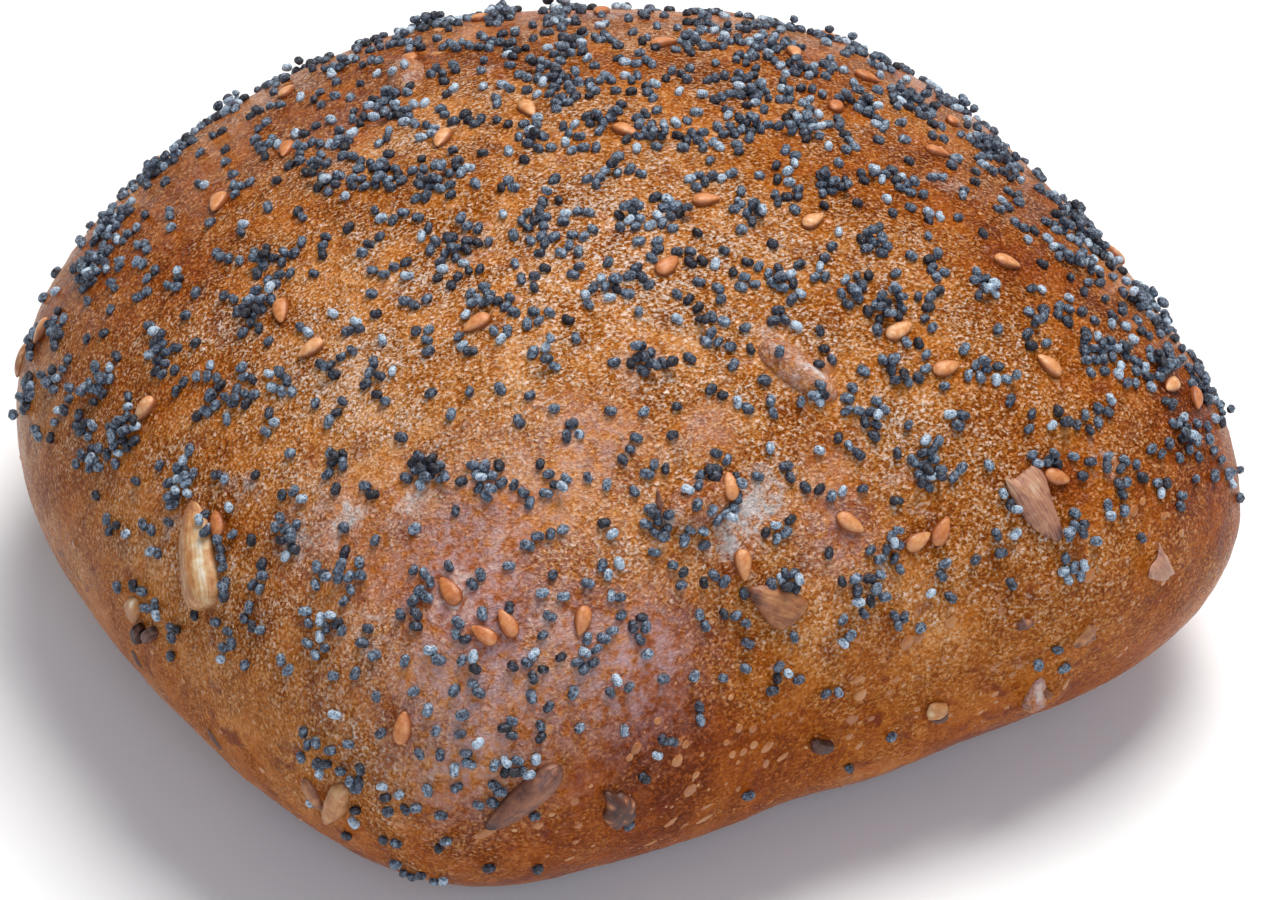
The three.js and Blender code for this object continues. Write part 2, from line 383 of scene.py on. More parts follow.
# a painted rosy sheen on the smoother skin, a whitish film at the torn edges, stringy where it peeled
sheenBreakup = times(plus(small, spark), 0.5)
rosySheen = times(between(sheenBreakup, 0.28, 0.72, 0.1, 1.0), between(wrinkle, 0.1, 0.9, 0.7, 1.0))
colour = paint(times(dull, rosySheen, use_clamp=True), colour, crustLook["rosySheen"])
edge = plus(less(torn, times(bare, 0.25)), times(skin, 0.9))
film = times(between(edge, 0.8, 1.25), between(wrinkle, 0.15, 0.85, 0.1, 1.0))
colour = paint(film, colour, crustLook["film"])
strand = between(mottled(stretched, *crustLook["strand"]), 0.3, 0.7, 0.0, 0.95)
peeled = times(between(plus(times(torn, 0.5), skin), 0.78, 1.02), strand)
colour = paint(peeled, colour, crustLook["peeled"])
colour = paint(under, colour, crustLook["base"])
tree.links.new(colour, surface["Base Color"])
gloss = plus(times(wrinkle, -0.16), between(wide, 0.2, 0.8, 0.42, 0.26))
tree.links.new(plus(gloss, times(film, 0.15)), surface["Roughness"])
tall = plus(plus(times(wrinkle, 1.6), times(small, 0.7)), times(speck, 0.3))
emboss(surface, times(tall, times(dried, between(dull, 0.0, 1.0, 1.0, 0.45))), 1.0, crustLook["relief"])
print("crust material made")


def cubeShell(count):
    # the lattice points and squares of a cube's surface
    grid = np.arange(count + 1)
    a, b = np.meshgrid(grid, grid, indexing="ij")
    corner = (grid[:-1, None] * (count + 1) + grid[None, :-1]).ravel()
    square = np.stack([corner, corner + count + 1, corner + count + 2, corner + 1], 1)
    points, faces = [], []
    for axis in range(3):
        for side in (0, count):
            lattice = np.zeros(((count + 1) ** 2, 3), int)
            lattice[:, axis] = side
            lattice[:, (axis + 1) % 3] = a.ravel()
            lattice[:, (axis + 2) % 3] = b.ravel()
            faces.append((square if side else square[:, ::-1]) + len(points) * (count + 1) ** 2)
            points.append(lattice)
    points, same = np.unique(np.concatenate(points), axis=0, return_inverse=True)
    return points, same.ravel()[np.concatenate(faces)]


lattice, squares = cubeShell(dough["cells"])
ways = np.tan((2 * lattice / dough["cells"] - 1) * math.pi / 4)
ways /= np.linalg.norm(ways, axis=1)[:, None]
ways[:, 2] += dough["gather"]                 # gathered towards the top, where most of the relief is
ways /= np.linalg.norm(ways, axis=1)[:, None]

crustFar = crustReach(ways)
trayFar = np.where(ways[:, 2] < -0.02, dough["widestHeight"] / np.maximum(-ways[:, 2], 0.02), 1e6)
sharp = float(dough["baseEdge"])
far = (crustFar ** -sharp + trayFar ** -sharp) ** (-1 / sharp)
doughPoints = fromReach(ways, far)

bearings = np.degrees(np.arctan2(ways[:, 1], ways[:, 0])) % 360
lifts = np.degrees(np.arcsin(np.clip(ways[:, 2], -1, 1)))
loose = np.clip(doughPoints[:, 2] / 4, 0, 1)                      # 0 on the base
seeded = 1 / (1 + np.exp(-(lifts - poppyFoot(bearings)) / 3))

# sesame seeds, which the crust is darker round: bearing, lift, turn of the pointed end
sesame = dict(
    size=(3.0, 1.65, 1.05), above=0.2,        # share of the thickness from the crust up to its middle
    # the darker crust round each seed is partly scorch and partly painted contact shade
    scorchAndShade=(2.4, 0.16),                       # darker crust round each: width, share
    shades=[(0.15, (146, 70, 30)), (0.45, (186, 108, 56)), (0.75, (206, 140, 86)), (1.0, (226, 178, 134))],
    # rim is the colour each seed darkens to round its outline: partly its darker edge, partly painted shade
    rim=(136, 66, 26), patch=(0.5, 3.0), patchShare=0.42, relief=0.06)
sesamePlaces = [
    (116, 33, 192), (139, 42, 4), (150, 35, 349), (117, 76, 48), (147, 65, 351), (339, 86, 222),
    (182, 37, 329), (192, 36, 257), (177, 20, 267), (216, 47, 245), (43, 55, 223), (7, 39, 241),
    (354, 50, 316), (356, 31, 304), (341, 39, 260), (285, 67, 340), (301, 54, 353), (258, 58, 17),
    (315, 33, 279), (291, 37, 5), (292, 31, 354), (303, 25, 100), (314, 15, 158), (316, 12, 189),
    (256, 28, 75), (256, 20, 262), (270, 21, 312), (277, 17, 14), (280, 17, 48), (294, 17, 325),
    (196, 17, 144), (225, 20, 137), (229, 17, 149), (231, 18, 118), (238, 18, 243), (223, 9, 91),
    (75, 22, 20), (98, 15, 130), (60, 38, 80), (27, 27, 310), (12, 18, 100), (104, 47, 250), (45, 12, 170),
    (340, 14, 30), (150, 11, 290), (80, 36, 200), (18, 45, 140), (125, 18, 75),
]
# where the crust is darker or lighter: partly its browning, partly painted shade on the flank and far rim and
# painted broad highlights on the crown; bearing, lift, width, share
browningAndShade = [
    (162, 27, 11, 0.08), (300, 30, 12, 0.05), (312, 8, 12, 0.1), (315, 62, 9, 0.12), (324, 45, 11, 0.16),
    (167, 62, 7, 0.06), (232, 14, 8, -0.06), (245, 42, 22, -0.05), (228, 52, 8, -0.07), (246, 10, 7, 0.13),
    (236, 3, 9, 0.13), (248, 0, 9, 0.11), (262, -2, 12, 0.05), (235, -12, 10, 0.1), (290, -12, 20, 0.06),
    (192, 57, 7, 0.07), (172, 29, 7, -0.09), (199, 30, 8, -0.12), (215, 34, 7, -0.09), (232, 37, 5, 0.05),
    (268, 33, 6, 0.06), (283, 29, 6, -0.05), (294, 22, 7, 0.07), (178, 19, 6, 0.08), (90, 20, 25, 0.05),
    (30, 15, 20, 0.06), (0, -8, 30, 0.06), (110, 55, 14, -0.08), (60, 35, 12, 0.08), (140, 30, 9, 0.08),
    (110, 40, 17, 0.16), (85, 62, 12, 0.1), (20, 60, 13, 0.08), (7, 40, 13, 0.1), (146, 20, 13, 0.15),
    (321, 28, 10, 0.16), (308, 14, 10, 0.13), (182, 28, 5, 0.09), (284, -12, 10, 0.11), (228, -4, 9, 0.11),
    (188, 20, 5, 0.05), (172, 22, 6, 0.05), (262, -6, 10, 0.06), (257, 42, 6, -0.07), (225, 8, 6, -0.08),
    (226, 31, 5, -0.05), (211, 26, 5, -0.05), (241, 14, 5, -0.07), (284, 46, 7, -0.04), (290, 7, 7, -0.05),
    (267, 25, 5, -0.05), (252, 25, 4, 0.06), (166, 33, 6, 0.06), (292, 31, 4, -0.08), (302, 25, 4, -0.06),
    (252, 31, 4, -0.06), (213, 16, 5, -0.06), (227, 11, 5, -0.05), (234, 22, 4, -0.05), (259, 20, 4, -0.07),
    (278, 17, 4, -0.06), (242, 21, 3, 0.06), (316, 46, 6, -0.05), (294, 50, 6, -0.05), (240, 67, 7, -0.05),
    (108, 54, 8, 0.08), (318, 14, 6, 0.06), (192, 25, 4, 0.05), (53, 64, 10, 0.12), (95, 57, 9, 0.12),
    (31, 60, 7, 0.09), (103, 46, 7, 0.09), (134, 48, 8, 0.1), (129, 36, 6, 0.09), (328, 37, 6, 0.11),
    (339, 26, 7, 0.07), (209, 55, 5, 0.11), (191, 66, 5, 0.08), (146, 32, 6, 0.07), (348, 87, 6, 0.07),
    (278, 23, 4, 0.06), (249, 16, 4, 0.05), (273, -9, 6, 0.05), (228, 23, 4, 0.04), (264, 35, 4, -0.03),
    (232, 38, 4, -0.04), (173, 39, 5, -0.04), (175, 28, 5, 0.04), (19, 52, 6, 0.03), (248, -8, 5, 0.05),
    (298, 22, 4, -0.11), (305, 27, 4, -0.05), (298, 32, 4, -0.04), (245, 58, 5, -0.08), (200, 2, 5, -0.09),
    (198, 8, 4, -0.04), (229, 16, 5, -0.03), (251, 30, 4, -0.04), (301, 42, 5, -0.04), (213, 35, 4, -0.03),
    (208, 26, 4, -0.04), (225, 30, 4, -0.04),
]
# where the skin tore and dried pale
tears = [
    (259.8, 26.1, 4, 0.9), (255, 22, 3, 0.7), (205.8, 19.5, 3, 0.7), (201.6, 60, 5, 0.5), (211, 23, 3, 0.8),
    (197, 21, 2, 0.7), (218, 26, 3, 0.6), (226.8, 20, 4, 0.6), (246.6, 44.1, 5, 0.5), (270.9, 41.4, 4, 0.7),
    (252.3, 33.9, 3, 0.5), (218, 16, 3, 0.6), (190, 14, 2.5, 0.5), (278, 22, 3, 0.5), (236, 17, 4, 0.5),
    (60, 40, 5, 0.6), (120, 30, 4, 0.6), (20, 30, 4, 0.6), (100, 60, 5, 0.5), (330, 40, 4, 0.5),
    (300, 16, 2.5, 0.5), (150, 50, 4, 0.5), (70, 18, 4, 0.6), (350, 15, 4, 0.6), (30, 60, 4, 0.5),
]
# where a rosy sheen is painted on smoother skin, and more painted glints where the share is negative
sheenAndGlintSpots = [
    (229, 17, 11, 0.8), (243, 14, 7, 0.6), (224, 27, 7, 0.5), (237, 36, 6, 0.5), (268, 20, 4, 0.8),
    (209, 22, 5, 0.4), (228, 5, 5, 0.4), (256, 35, 3, 0.6), (70, 30, 12, 0.6), (130, 45, 10, 0.5),
    (10, 25, 9, 0.5), (244, 13, 5, 0.4), (242, 34, 5, 0.3), (229, 12, 5, 0.3), (270, 26, 4, 0.3),
    (176, 29, 6, -0.4), (130, 40, 9, -0.3), (240, 62, 15, -0.9), (184, 36, 12, -0.3), (205, 52, 10, -0.5),
    (30, 55, 16, -0.7), (110, 30, 12, -0.6),
]
browned = spots(ways, browningAndShade)
browned += spots(ways, [(bearing, lift, *sesame["scorchAndShade"]) for bearing, lift, turn in sesamePlaces])
# and darker towards the foot, and a little where no seeds lie
browned += 0.12 * np.clip((9 - doughPoints[:, 2]) / 9, 0, 1) + 0.05 * (1 - seeded)

relief, given, out = newTree("Crust relief", "GeometryNodeTree", [
    ("Geometry", "Geometry", None), ("Swell Size", "Float", 9.0), ("Swell Height", "Float", 0.3),
    ("Crag Size", "Float", 2.2), ("Crag Height", "Float", 0.12), ("Grain Size", "Float", 0.9),
    ("Grain Height", "Float", 0.06), ("Seed", "Float", 3.0), ("Material", "Material", None)],
    [("Geometry", "Geometry")])
spot = put(relief, "GeometryNodeInputPosition").outputs[0]


def named(tree, name, kind="FLOAT"):
    return put(tree, "GeometryNodeInputNamedAttribute", {"Name": name}, data_type=kind).outputs[0]


def waves(label, detail):
    # noise of a size and height that the tree is given, in millimetres
    cloud = put(relief, "ShaderNodeTexNoise", {"Vector": spot, "W": given["Seed"], "Detail": detail,
                "Scale": maths("DIVIDE", 1000.0, given[label + " Size"])}, noise_dimensions="4D")
    return times(less(cloud.outputs[0], 0.5), times(given[label + " Height"], 3.0 * mm))


def dressed(tree, geometry, given, out):
    # smooth, with its material, as the tree's result
    even = put(tree, "GeometryNodeSetShadeSmooth", {"Geometry": geometry})
    feeds = {"Geometry": even.outputs[0], "Material": given["Material"]}
    tree.links.new(put(tree, "GeometryNodeSetMaterial", feeds).outputs[0], out["Geometry"])


sharp = times(plus(waves("Crag", 2.0), waves("Grain", 1.0)), named(relief, "rough"))
height = times(plus(waves("Swell", 2.0), sharp), named(relief, "loose"))
outward = put(relief, "GeometryNodeInputNormal").outputs[0]
raised = put(relief, "GeometryNodeSetPosition", {"Geometry": given["Geometry"],
             "Offset": vectors("SCALE", outward, {"Scale": height})})
dressed(relief, raised.outputs[0], given, out)

roll = newMesh("crust", doughPoints, squares, {
    "loose": loose, "rough": 0.5 + 0.5 * seeded, "browned": browned, "bare": 1 - seeded,
    "skin": np.clip(spots(ways, tears), 0, 1), "under": np.clip(1 - doughPoints[:, 2] / 0.5, 0, 1),
    "dull": np.clip(spots(ways, sheenAndGlintSpots), -1, 1)})
grow(roll, relief, {"Swell Size": 9.0, "Swell Height": 0.25, "Crag Size": 2.2, "Crag Height": 0.12,
                    "Grain Size": 0.95, "Grain Height": 0.07}, crust)
print("dough shaped:", len(roll.data.polygons), "squares")
crustTree = treeOf(roll.data)


def onCrust(point):
    # the nearest point of the finished crust, and its outward normal
    spot, normal, index, apart = crustTree.find_nearest(Vector(point))
    return spot, normal


def onTop(point):
    # as onCrust, and on top of a covered kernel where one lies there
    spot, normal = onCrust(point)
    high, lean, index, apart = bumpTree.ray_cast(spot + 4 * normal, -normal, 4)
    return (high, lean) if high is not None else (spot, normal)


scatter, given, out = newTree("Seeds on points", "GeometryNodeTree", [
    ("Geometry", "Geometry", None), ("Shapes", "Collection", None), ("Material", "Material", None)],
    [("Geometry", "Geometry")])
shapes = put(scatter, "GeometryNodeCollectionInfo", {"Collection": given["Shapes"], "Separate Children": True,
             "Reset Children": True})
turned = put(scatter, "FunctionNodeEulerToRotation", {0: named(scatter, "facing", "FLOAT_VECTOR")})
grown = put(scatter, "GeometryNodeInstanceOnPoints", {
    "Points": given["Geometry"], "Instance": shapes.outputs[0], "Pick Instance": True,
    "Instance Index": named(scatter, "form", "INT"), "Rotation": turned.outputs[0],
    "Scale": named(scatter, "size", "FLOAT_VECTOR")})
real = put(scatter, "GeometryNodeRealizeInstances", {"Geometry": grown.outputs[0]})
dressed(scatter, real.outputs[0], given, out)


def seedShape(name, rings, sides, taper=0.0, notch=0.0, bend=0.0, dent=0.0, edge=2.0):
    # a seed of unit length lying along x, its pointed end at +x, poles closed
    points = [(-0.5, 0, 0)]
    for i in range(1, rings):
        t = -math.cos(math.pi * i / rings)
        wide = math.sqrt(1 - t * t) * (1 - taper * t)
        for j in range(sides):
            a = 2 * math.pi * j / sides
            reach = (abs(math.cos(a)) ** edge + abs(math.sin(a)) ** edge) ** (-1 / edge)
            y = reach * math.cos(a) * wide / 2
            z = reach * math.sin(a) * wide / 2
            hollow = notch * math.exp(-((t / 0.45) ** 2)) * max(0, -math.cos(a)) ** 2
            y = y * (1 - hollow) + bend * (t * t - 0.4)
            z = z * (1 - dent * math.exp(-((t - 0.2) ** 2) / 0.2) * max(0, math.sin(a)) ** 2)
            points.append((t / 2, y, z))
    points.append((0.5, 0, 0))
    faces = [(0, 1 + (j + 1) % sides, 1 + j) for j in range(sides)]
    for i in range(rings - 2):
        for j in range(sides):
            a, b = 1 + i * sides + j, 1 + i * sides + (j + 1) % sides
            faces.append((a, b, b + sides, a + sides))
    last = len(points) - 1
    faces += [(last, last - sides + j, last - sides + (j + 1) % sides) for j in range(sides)]
    mesh = bpy.data.meshes.new(name)
    mesh.from_pydata(points, [], faces)
    ring = [1 - max(0, math.sin(2 * math.pi * j / sides)) ** 1.3 for j in range(sides)]
    rims = [1.0] + ring * (rings - 1) + [1.0]                  # 1 around the outline, 0 along the back
    mesh.attributes.new("rim", "FLOAT", "POINT").data.foreach_set("value", rims)
    return bpy.data.objects.new(name, mesh)


def spread(name, shapes, places, material):
    # lays seeds on the crust. A place is (point, normal, (turn, lean, roll), size, form, tone), in mm.
    family = bpy.data.collections.new(name + "Shapes")
    for shape in shapes:
        family.objects.link(shape)
    points, facing, size, form, tone = [], [], [], [], []
    for point, normal, (turn, lean, roll), big, kind, shade in places:
        normal = Vector(normal).normalized()
        east = Vector((0, 0, 1)).cross(normal)
        east = east.normalized() if east.length > 1e-4 else Vector((1, 0, 0))
        stand = Matrix((east, normal.cross(east), normal)).transposed()
        for angle, axis in ((turn, "Z"), (lean, "Y"), (roll, "X")):
            stand = stand @ Matrix.Rotation(angle, 3, axis)
        points.append(point)
        facing.append(stand.to_euler())
        size.append([side * mm for side in big])
        form.append(kind)
        tone.append(shade)
    piece = newMesh(name, points, [], {"facing": np.array(facing), "size": np.array(size), "tone": tone})
    piece.data.attributes.new("form", "INT", "POINT").data.foreach_set("value", form)
    grow(piece, scatter, {"Shapes": family}, material)
    for spare in ("facing", "size", "form"):
        if spare in piece.data.attributes:
            piece.data.attributes.remove(piece.data.attributes[spare])
    for shape in shapes:
        bpy.data.objects.remove(shape)
    bpy.data.collections.remove(family)
    print(name + ":", len(places), "seeds,", len(piece.data.polygons), "faces")
    return piece


kernelLook = dict(
    shades=[(0.0, (34, 16, 10)), (0.2, (86, 44, 26)), (0.4, (140, 82, 46)), (0.6, (182, 124, 74)),
            (0.8, (204, 170, 128)), (1.0, (222, 212, 194))],
    rosy=(172, 136, 132), lineShare=0.42, patch=(0.9, 3.0, 0.6), patchShare=0.25, relief=0.12)

kernelSkin, tree, surface, where = newMaterial("kernel", Roughness=0.44, Specular_IOR_Level=0.4)
tone, lined, rosy, across, along = attributes(tree, "tone", "lined", "rosy", "across", "along")
patch = mottled(where, *kernelLook["patch"])
line = times(less(effect(fibres, Across=across, Along=along, Count=1.0)["Value"], 0.5), lined)
shade = plus(tone, times(line, kernelLook["lineShare"]))
shade = plus(shade, times(less(patch, 0.5), kernelLook["patchShare"]))
# rosiness: partly the pieces' own pink, partly a painted pinkish sheen
rosiness = times(rosy, between(shade, 0.1, 0.7, 0.4, 1.0))
colour = paint(rosiness, ramp(shade, kernelLook["shades"]), kernelLook["rosy"])
tree.links.new(colour, surface["Base Color"])
emboss(surface, plus(times(line, 1.0), times(patch, 0.5)), 0.7, kernelLook["relief"])


# Kernels and chips have lines (how many, how strong), rosiness (their own pink and a painted pinkish sheen),
# tone (0 dark brown, 1 pale) and shades, each (along, across, width, change of tone), for their markings and
# some painted highlights. What stands out is a share of the thickness.
def kernel(bearing, lift, turn, size, taper, proud, blunt, lines, rosy, tone, shades):
    # turn is of the pointed end, blunt is of the two ends
    return dict(bearing=bearing, lift=lift, turn=turn, size=size, taper=taper, proud=proud, blunt=blunt,
                lines=lines, rosy=rosy, tone=tone, shades=shades)


def chip(bearing, lift, turn, thick, proud, crown, lines, rosy, tone, outline, shades=()):
    # cut to an outline of (level, uphill) points. crown is the top: 1 is a cone, high is flat
    return dict(bearing=bearing, lift=lift, turn=turn, thick=thick, proud=proud, crown=crown, lines=lines,
                rosy=rosy, tone=tone, outline=outline, shades=shades)


kernels = [
    kernel(195.3, 13.5, 136, (9.8, 3.9, 2.3), 0.3, 0.6, (5, 2.6), (7, 0.5), 0, 0.61,
        [(-0.75, -0.6, 0.24, 0.22), (-0.4, -0.65, 0.24, 0.28), (-0.05, -0.65, 0.24, 0.28),
        (0.3, -0.5, 0.22, 0.24), (0.95, 0, 0.28, -0.14), (-0.2, 0.9, 0.4, -0.08), (-0.9, -0.9, 0.3, -0.1)]),
    kernel(233.4, 3.6, 219, (8.4, 2.6, 2.1), 0.2, 0.62, (3, 2.2), (4, 0.3), 0.2, 0.27,
        [(-0.95, 0, 0.3, -0.12), (-0.3, 0.1, 0.5, 0.12), (1, 0, 0.24, -0.4)]),
    kernel(214.8, -0.6, 302, (3.6, 1.4, 1.2), 0.25, 0.55, (2.4, 1.9), (3, 0.2), 0.15, 0.46,
        [(0, 0.2, 0.4, 0.12)]),
    kernel(88, 14, 60, (8.8, 3.6, 2.3), 0.35, 0.6, (4, 2.2), (7, 0.5), 0, 0.62, [(-0.3, 0.3, 0.35, 0.3),
        (0.2, 0.2, 0.35, 0.25), (0.95, 0, 0.3, -0.15)]),
    kernel(42, 18, 200, (8.4, 3.2, 2.2), 0.3, 0.55, (2.8, 2), (5, 0.4), 0.2, 0.36, [(-0.5, 0.1, 0.5, 0.12),
        (1, 0, 0.2, -0.2)]),
]
# under the skin: their tone is how far that skin is dried pale, with painted highlights in places, and their
# rosiness how much painted rosy sheen lies on it
covered = [
    kernel(251.7, 27, 12, (7.4, 4.2, 3.2), 0.1, 0.42, (2.4, 2.2), (3, 0), 0.3, 0, [(-0.8, 0.1, 0.4, 0.85)]),
    kernel(273, 38.4, 304, (8.2, 3.4, 2.8), 0.1, 0.45, (2.6, 2.2), (3, 0), 0.55, 0, [(-0.6, 0.1, 0.4, 0.6),
        (0, 0.1, 0.35, 0.65), (0.45, 0.2, 0.35, 0.8)]),
    kernel(286.5, -4.2, 80, (4.2, 2, 1.6), 0.2, 0.5, (2.2, 2), (3, 0), 1, 0.5, [(0.6, 0, 0.4, 0.35)]),
    kernel(110, 50, 40, (7.4, 3.8, 2.6), 0.1, 0.35, (2.6, 2.2), (3, 0), 0.5, 0, [(0.6, 0.1, 0.4, 0.7)]),
]
husks = [
    chip(290.1, 15.9, 0, 1.3, 0.75, 2.8, (13, 0.75), 0.35, 0.49, [(-1.9, 3.1), (-1.5, 2.5), (0, 3),
        (1.1, 3.3), (1.9, 2.6), (2, 1.8), (1.9, 0.4), (1.9, -1.2), (2, -2.4), (2, -3.4), (1.4, -3.9),
        (0.6, -3.2), (-0.5, -2.2), (-1.2, -1), (-1.6, 0.7), (-1.9, 1.8)], [(-1.7, 2.8, 0.6, 0.2),
        (1.7, -3.3, 0.8, -0.4), (0.3, 1.6, 0.9, 0.18), (-1.3, -0.6, 0.5, -0.12), (1.8, 0, 0.5, -0.12)]),
    chip(259.2, 15, 0, 1.1, 0.72, 4.5, (7, 0.4), 0.05, 0.41, [(-2.4, 2.1), (-1.3, 2.2), (0, 1.8), (1.6, 1),
        (2.2, 0.5), (2.8, -0.1), (2.2, -0.9), (1.1, -1.7), (0.1, -2), (-0.8, -1.6), (-1.4, -0.7), (-2.1, 0.6),
        (-2.5, 1.4)], [(-2, 1.5, 0.7, -0.26), (-0.9, 1.2, 0.5, 0.26), (0.6, 0.4, 0.6, 0.1),
        (2.2, -0.8, 0.35, 0.2), (0.9, -1.8, 0.3, 0.15)]),
    chip(299.7, 5.4, 0, 0.9, 0.85, 1.6, (6, 0.5), 0.5, 0.56, [(0.3, 1.9), (0.5, 0.9), (0.9, 0.2), (1.1, -0.7),
        (1.6, -2), (0.7, -1.8), (0.6, -2.1), (-0.6, -1.6), (-1.9, -0.6), (-1.4, 0.3), (-0.5, 0.6),
        (-0.1, 1.1)], [(0.1, 0.8, 0.4, -0.2), (1.3, -1.6, 0.4, 0.12)]),
    chip(5, 6, 30, 1, 0.7, 2.4, (11, 0.9), 0.25, 0.45, [(-2.3, 1.2), (-1, 1.7), (0.4, 1.3), (2.2, 0.4),
        (2.6, -0.4), (0.8, -1.2), (-1.2, -1.3), (-2.2, -0.3)], [(-1.5, 0.5, 0.8, 0.12)]),
    chip(146, 4, 110, 0.9, 0.7, 2.6, (9, 0.8), 0.1, 0.55, [(-1.8, 0.9), (-0.4, 1.3), (1.3, 0.8), (1.9, 0),
        (1, -0.9), (-0.8, -1.1), (-1.7, -0.3)]),
]
grains = [
    chip(217.2, -0.3, 0, 1.6, 0.66, 5, (5, 0.2), 0.05, 0.57, [(-0.2, 2.3), (0.7, 2.9), (1.4, 2.6), (1.5, 1.5),
        (1.3, 0.1), (0.6, -1), (-0.5, -2.2), (-1.2, -3), (-1.5, -2.6), (-1.4, -1.4), (-0.9, 0.4)],
        [(0.9, 2, 0.6, 0.1), (-1.2, -2.6, 0.5, -0.1)]),
    chip(188.1, 3.9, 0, 0.9, 0.62, 3, (3, 0.1), 0, 0.54, [(-1.4, -0.3), (-0.5, 1.1), (0.7, 1.4), (1.4, 1),
        (1.3, -0.3), (0.5, -1.3), (-0.7, -1.4)], [(0.3, 0.8, 0.45, 0.45)]),
    chip(190.2, 2.4, 0, 1.3, 0.8, 6, (4, 0.8), 0, 0.06, [(-1, 0.1), (-0.4, 1), (0.4, 0.9), (0.5, 0.5),
        (0.5, -0.6), (-0.2, -1.3), (-0.8, -0.8)]),
    chip(191.9, 3.3, 0, 1.3, 0.8, 6, (4, 0.8), 0.25, 0.13, [(-0.7, 0.1), (0.1, 1.1), (0.9, 0.8), (0.7, -0.1),
        (-0.1, -0.9), (-0.7, -0.6)], [(-0.6, 0.8, 0.3, 0.3)]),
    chip(241.2, 0.6, 0, 1.6, 0.7, 4.5, (4, 0.3), 0.1, 0.12, [(-1.3, 2.2), (-0.9, 2.4), (-0.1, 1.7),
        (0.4, 1.8), (1, 1.1), (1.6, 0.5), (1.4, -0.3), (1.6, -1), (0.9, -2), (0.2, -1.8), (-0.3, -2.2),
        (-1, -1.4), (-1.5, -0.4), (-1.1, 0.8)], [(-0.9, 1.1, 0.3, 0.5), (1.1, 0.6, 0.22, 0.65),
        (0.9, 0.1, 0.2, 0.5), (-1.2, -0.6, 0.25, 0.55), (-0.9, -1.2, 0.2, 0.5), (0.2, -0.7, 0.2, 0.45),
        (0.5, 1.3, 0.2, 0.5), (-0.3, 0.2, 0.16, 0.3), (1.2, -0.9, 0.2, 0.3)]),
    chip(262.8, -1.8, 0, 1.2, 0.7, 5, (4, 0.5), 0.1, 0.1, [(-1.3, 0.8), (-0.7, 1.1), (0.1, 0.5), (1, 0),
        (1.2, -0.6), (0.7, -1), (-0.4, -0.8), (-1.1, -0.2)], [(0.9, -0.6, 0.3, 0.3)]),
    chip(276, -2.1, 0, 1.2, 0.8, 2.2, (3, 0.15), 0, 0.6, [(-1.1, 0.1), (-0.8, 0.9), (-0.2, 1), (0.9, 0.5),
        (1.1, -0.4), (0.7, -0.8), (0.1, -1), (-0.9, -0.7)], [(-0.8, 0.1, 0.3, 0.3)]),
    chip(276.3, -3.3, 0, 0.7, 0.65, 3, (4, 0.5), 0.3, 0.14, [(-0.9, 0.1), (-0.2, -0.1), (0.5, 0.1), (1, 0.2),
        (1, -0.6), (0.2, -0.8), (-0.5, -0.5)]),
    chip(285.3, 5.4, 0, 0.7, 0.7, 4, (3, 0.2), 0.2, 0.18, [(-0.8, 0.1), (-0.2, 0.5), (0.7, 0.2), (0.8, -0.3),
        (0.1, -0.6), (-0.7, -0.5)], [(0.2, 0.2, 0.3, 0.3)]),
    chip(291, 1.3, 0, 0.6, 0.6, 2.6, (3, 0.2), 0, 0.5, [(-1.3, -0.2), (-0.6, 0.4), (0.3, 1.5), (0.9, 1.3),
        (1.2, 0.3), (1.3, -0.6), (0.2, -0.9), (-0.8, -0.8)], [(-0.7, -0.4, 0.4, -0.35),
        (0.9, -0.2, 0.3, -0.35), (0.3, -0.6, 0.25, -0.3)]),
    chip(287.4, -3.7, 0, 0.9, 0.85, 3, (3, 0.2), 0, 0.32, [(-0.6, 0.5), (-0.1, 0.6), (0.5, -0.1), (0.1, -0.7),
        (-0.4, -0.3)]),
    chip(201.3, -3.3, 0, 0.5, 0.5, 3, (3, 0.2), 0.3, 0.2, [(-0.9, 0.8), (-0.4, 0.8), (0.2, 0.1), (0.9, -0.6),
        (0.6, -0.9), (-0.2, -0.4), (-0.8, 0.2)]),
    chip(188.1, -2.4, 0, 0.5, 0.5, 3, (3, 0.2), 0.3, 0.18, [(-0.6, 0.8), (-0.1, 0.8), (0.5, 0), (0.6, -0.7),
        (0.1, -0.8), (-0.5, 0)]),
    chip(247.2, 27.3, 0, 0.5, 0.55, 2, (3, 0.2), 0.1, 0.2, [(0.3, 1.7), (0, 1.2), (-0.4, 0.4), (-0.3, -0.6),
        (0.2, -1.5), (0.7, -1.9), (0.4, -1), (0.1, 0), (0.2, 0.9)]),
    chip(60, 3, 0, 1.2, 0.6, 3, (4, 0.4), 0.1, 0.3, [(-1.3, 0.5), (-0.2, 1.2), (1.1, 0.6), (1.3, -0.5),
        (0.1, -1.1), (-1.1, -0.6)], [(0, 0, 0.4, 0.3)]),
    chip(118, 1, 70, 1.1, 0.65, 4, (4, 0.8), 0.1, 0.12, [(-1.4, 0.6), (-0.3, 1), (1, 0.7), (1.2, -0.4),
        (0.1, -1), (-1.2, -0.7)], [(0.6, 0.3, 0.4, 0.35)]),
]


def drape(place, x, y):
    # height of the crust over the level of a place, at x, y in its frame
    start = place @ Vector((x, y, 6))
    out = place.to_3x3() @ Vector((0, 0, 1))
    spot, normal, index, far = crustTree.ray_cast(start, -out, 14)
    return 6 - far if far is not None else 0


def shaded(row, u, v):
    # the tone at a point of a kernel or chip
    return row["tone"] + sum(change * math.exp(-(((u - along) ** 2 + (v - across) ** 2) / width ** 2))
                             for along, across, width, change in row["shades"])


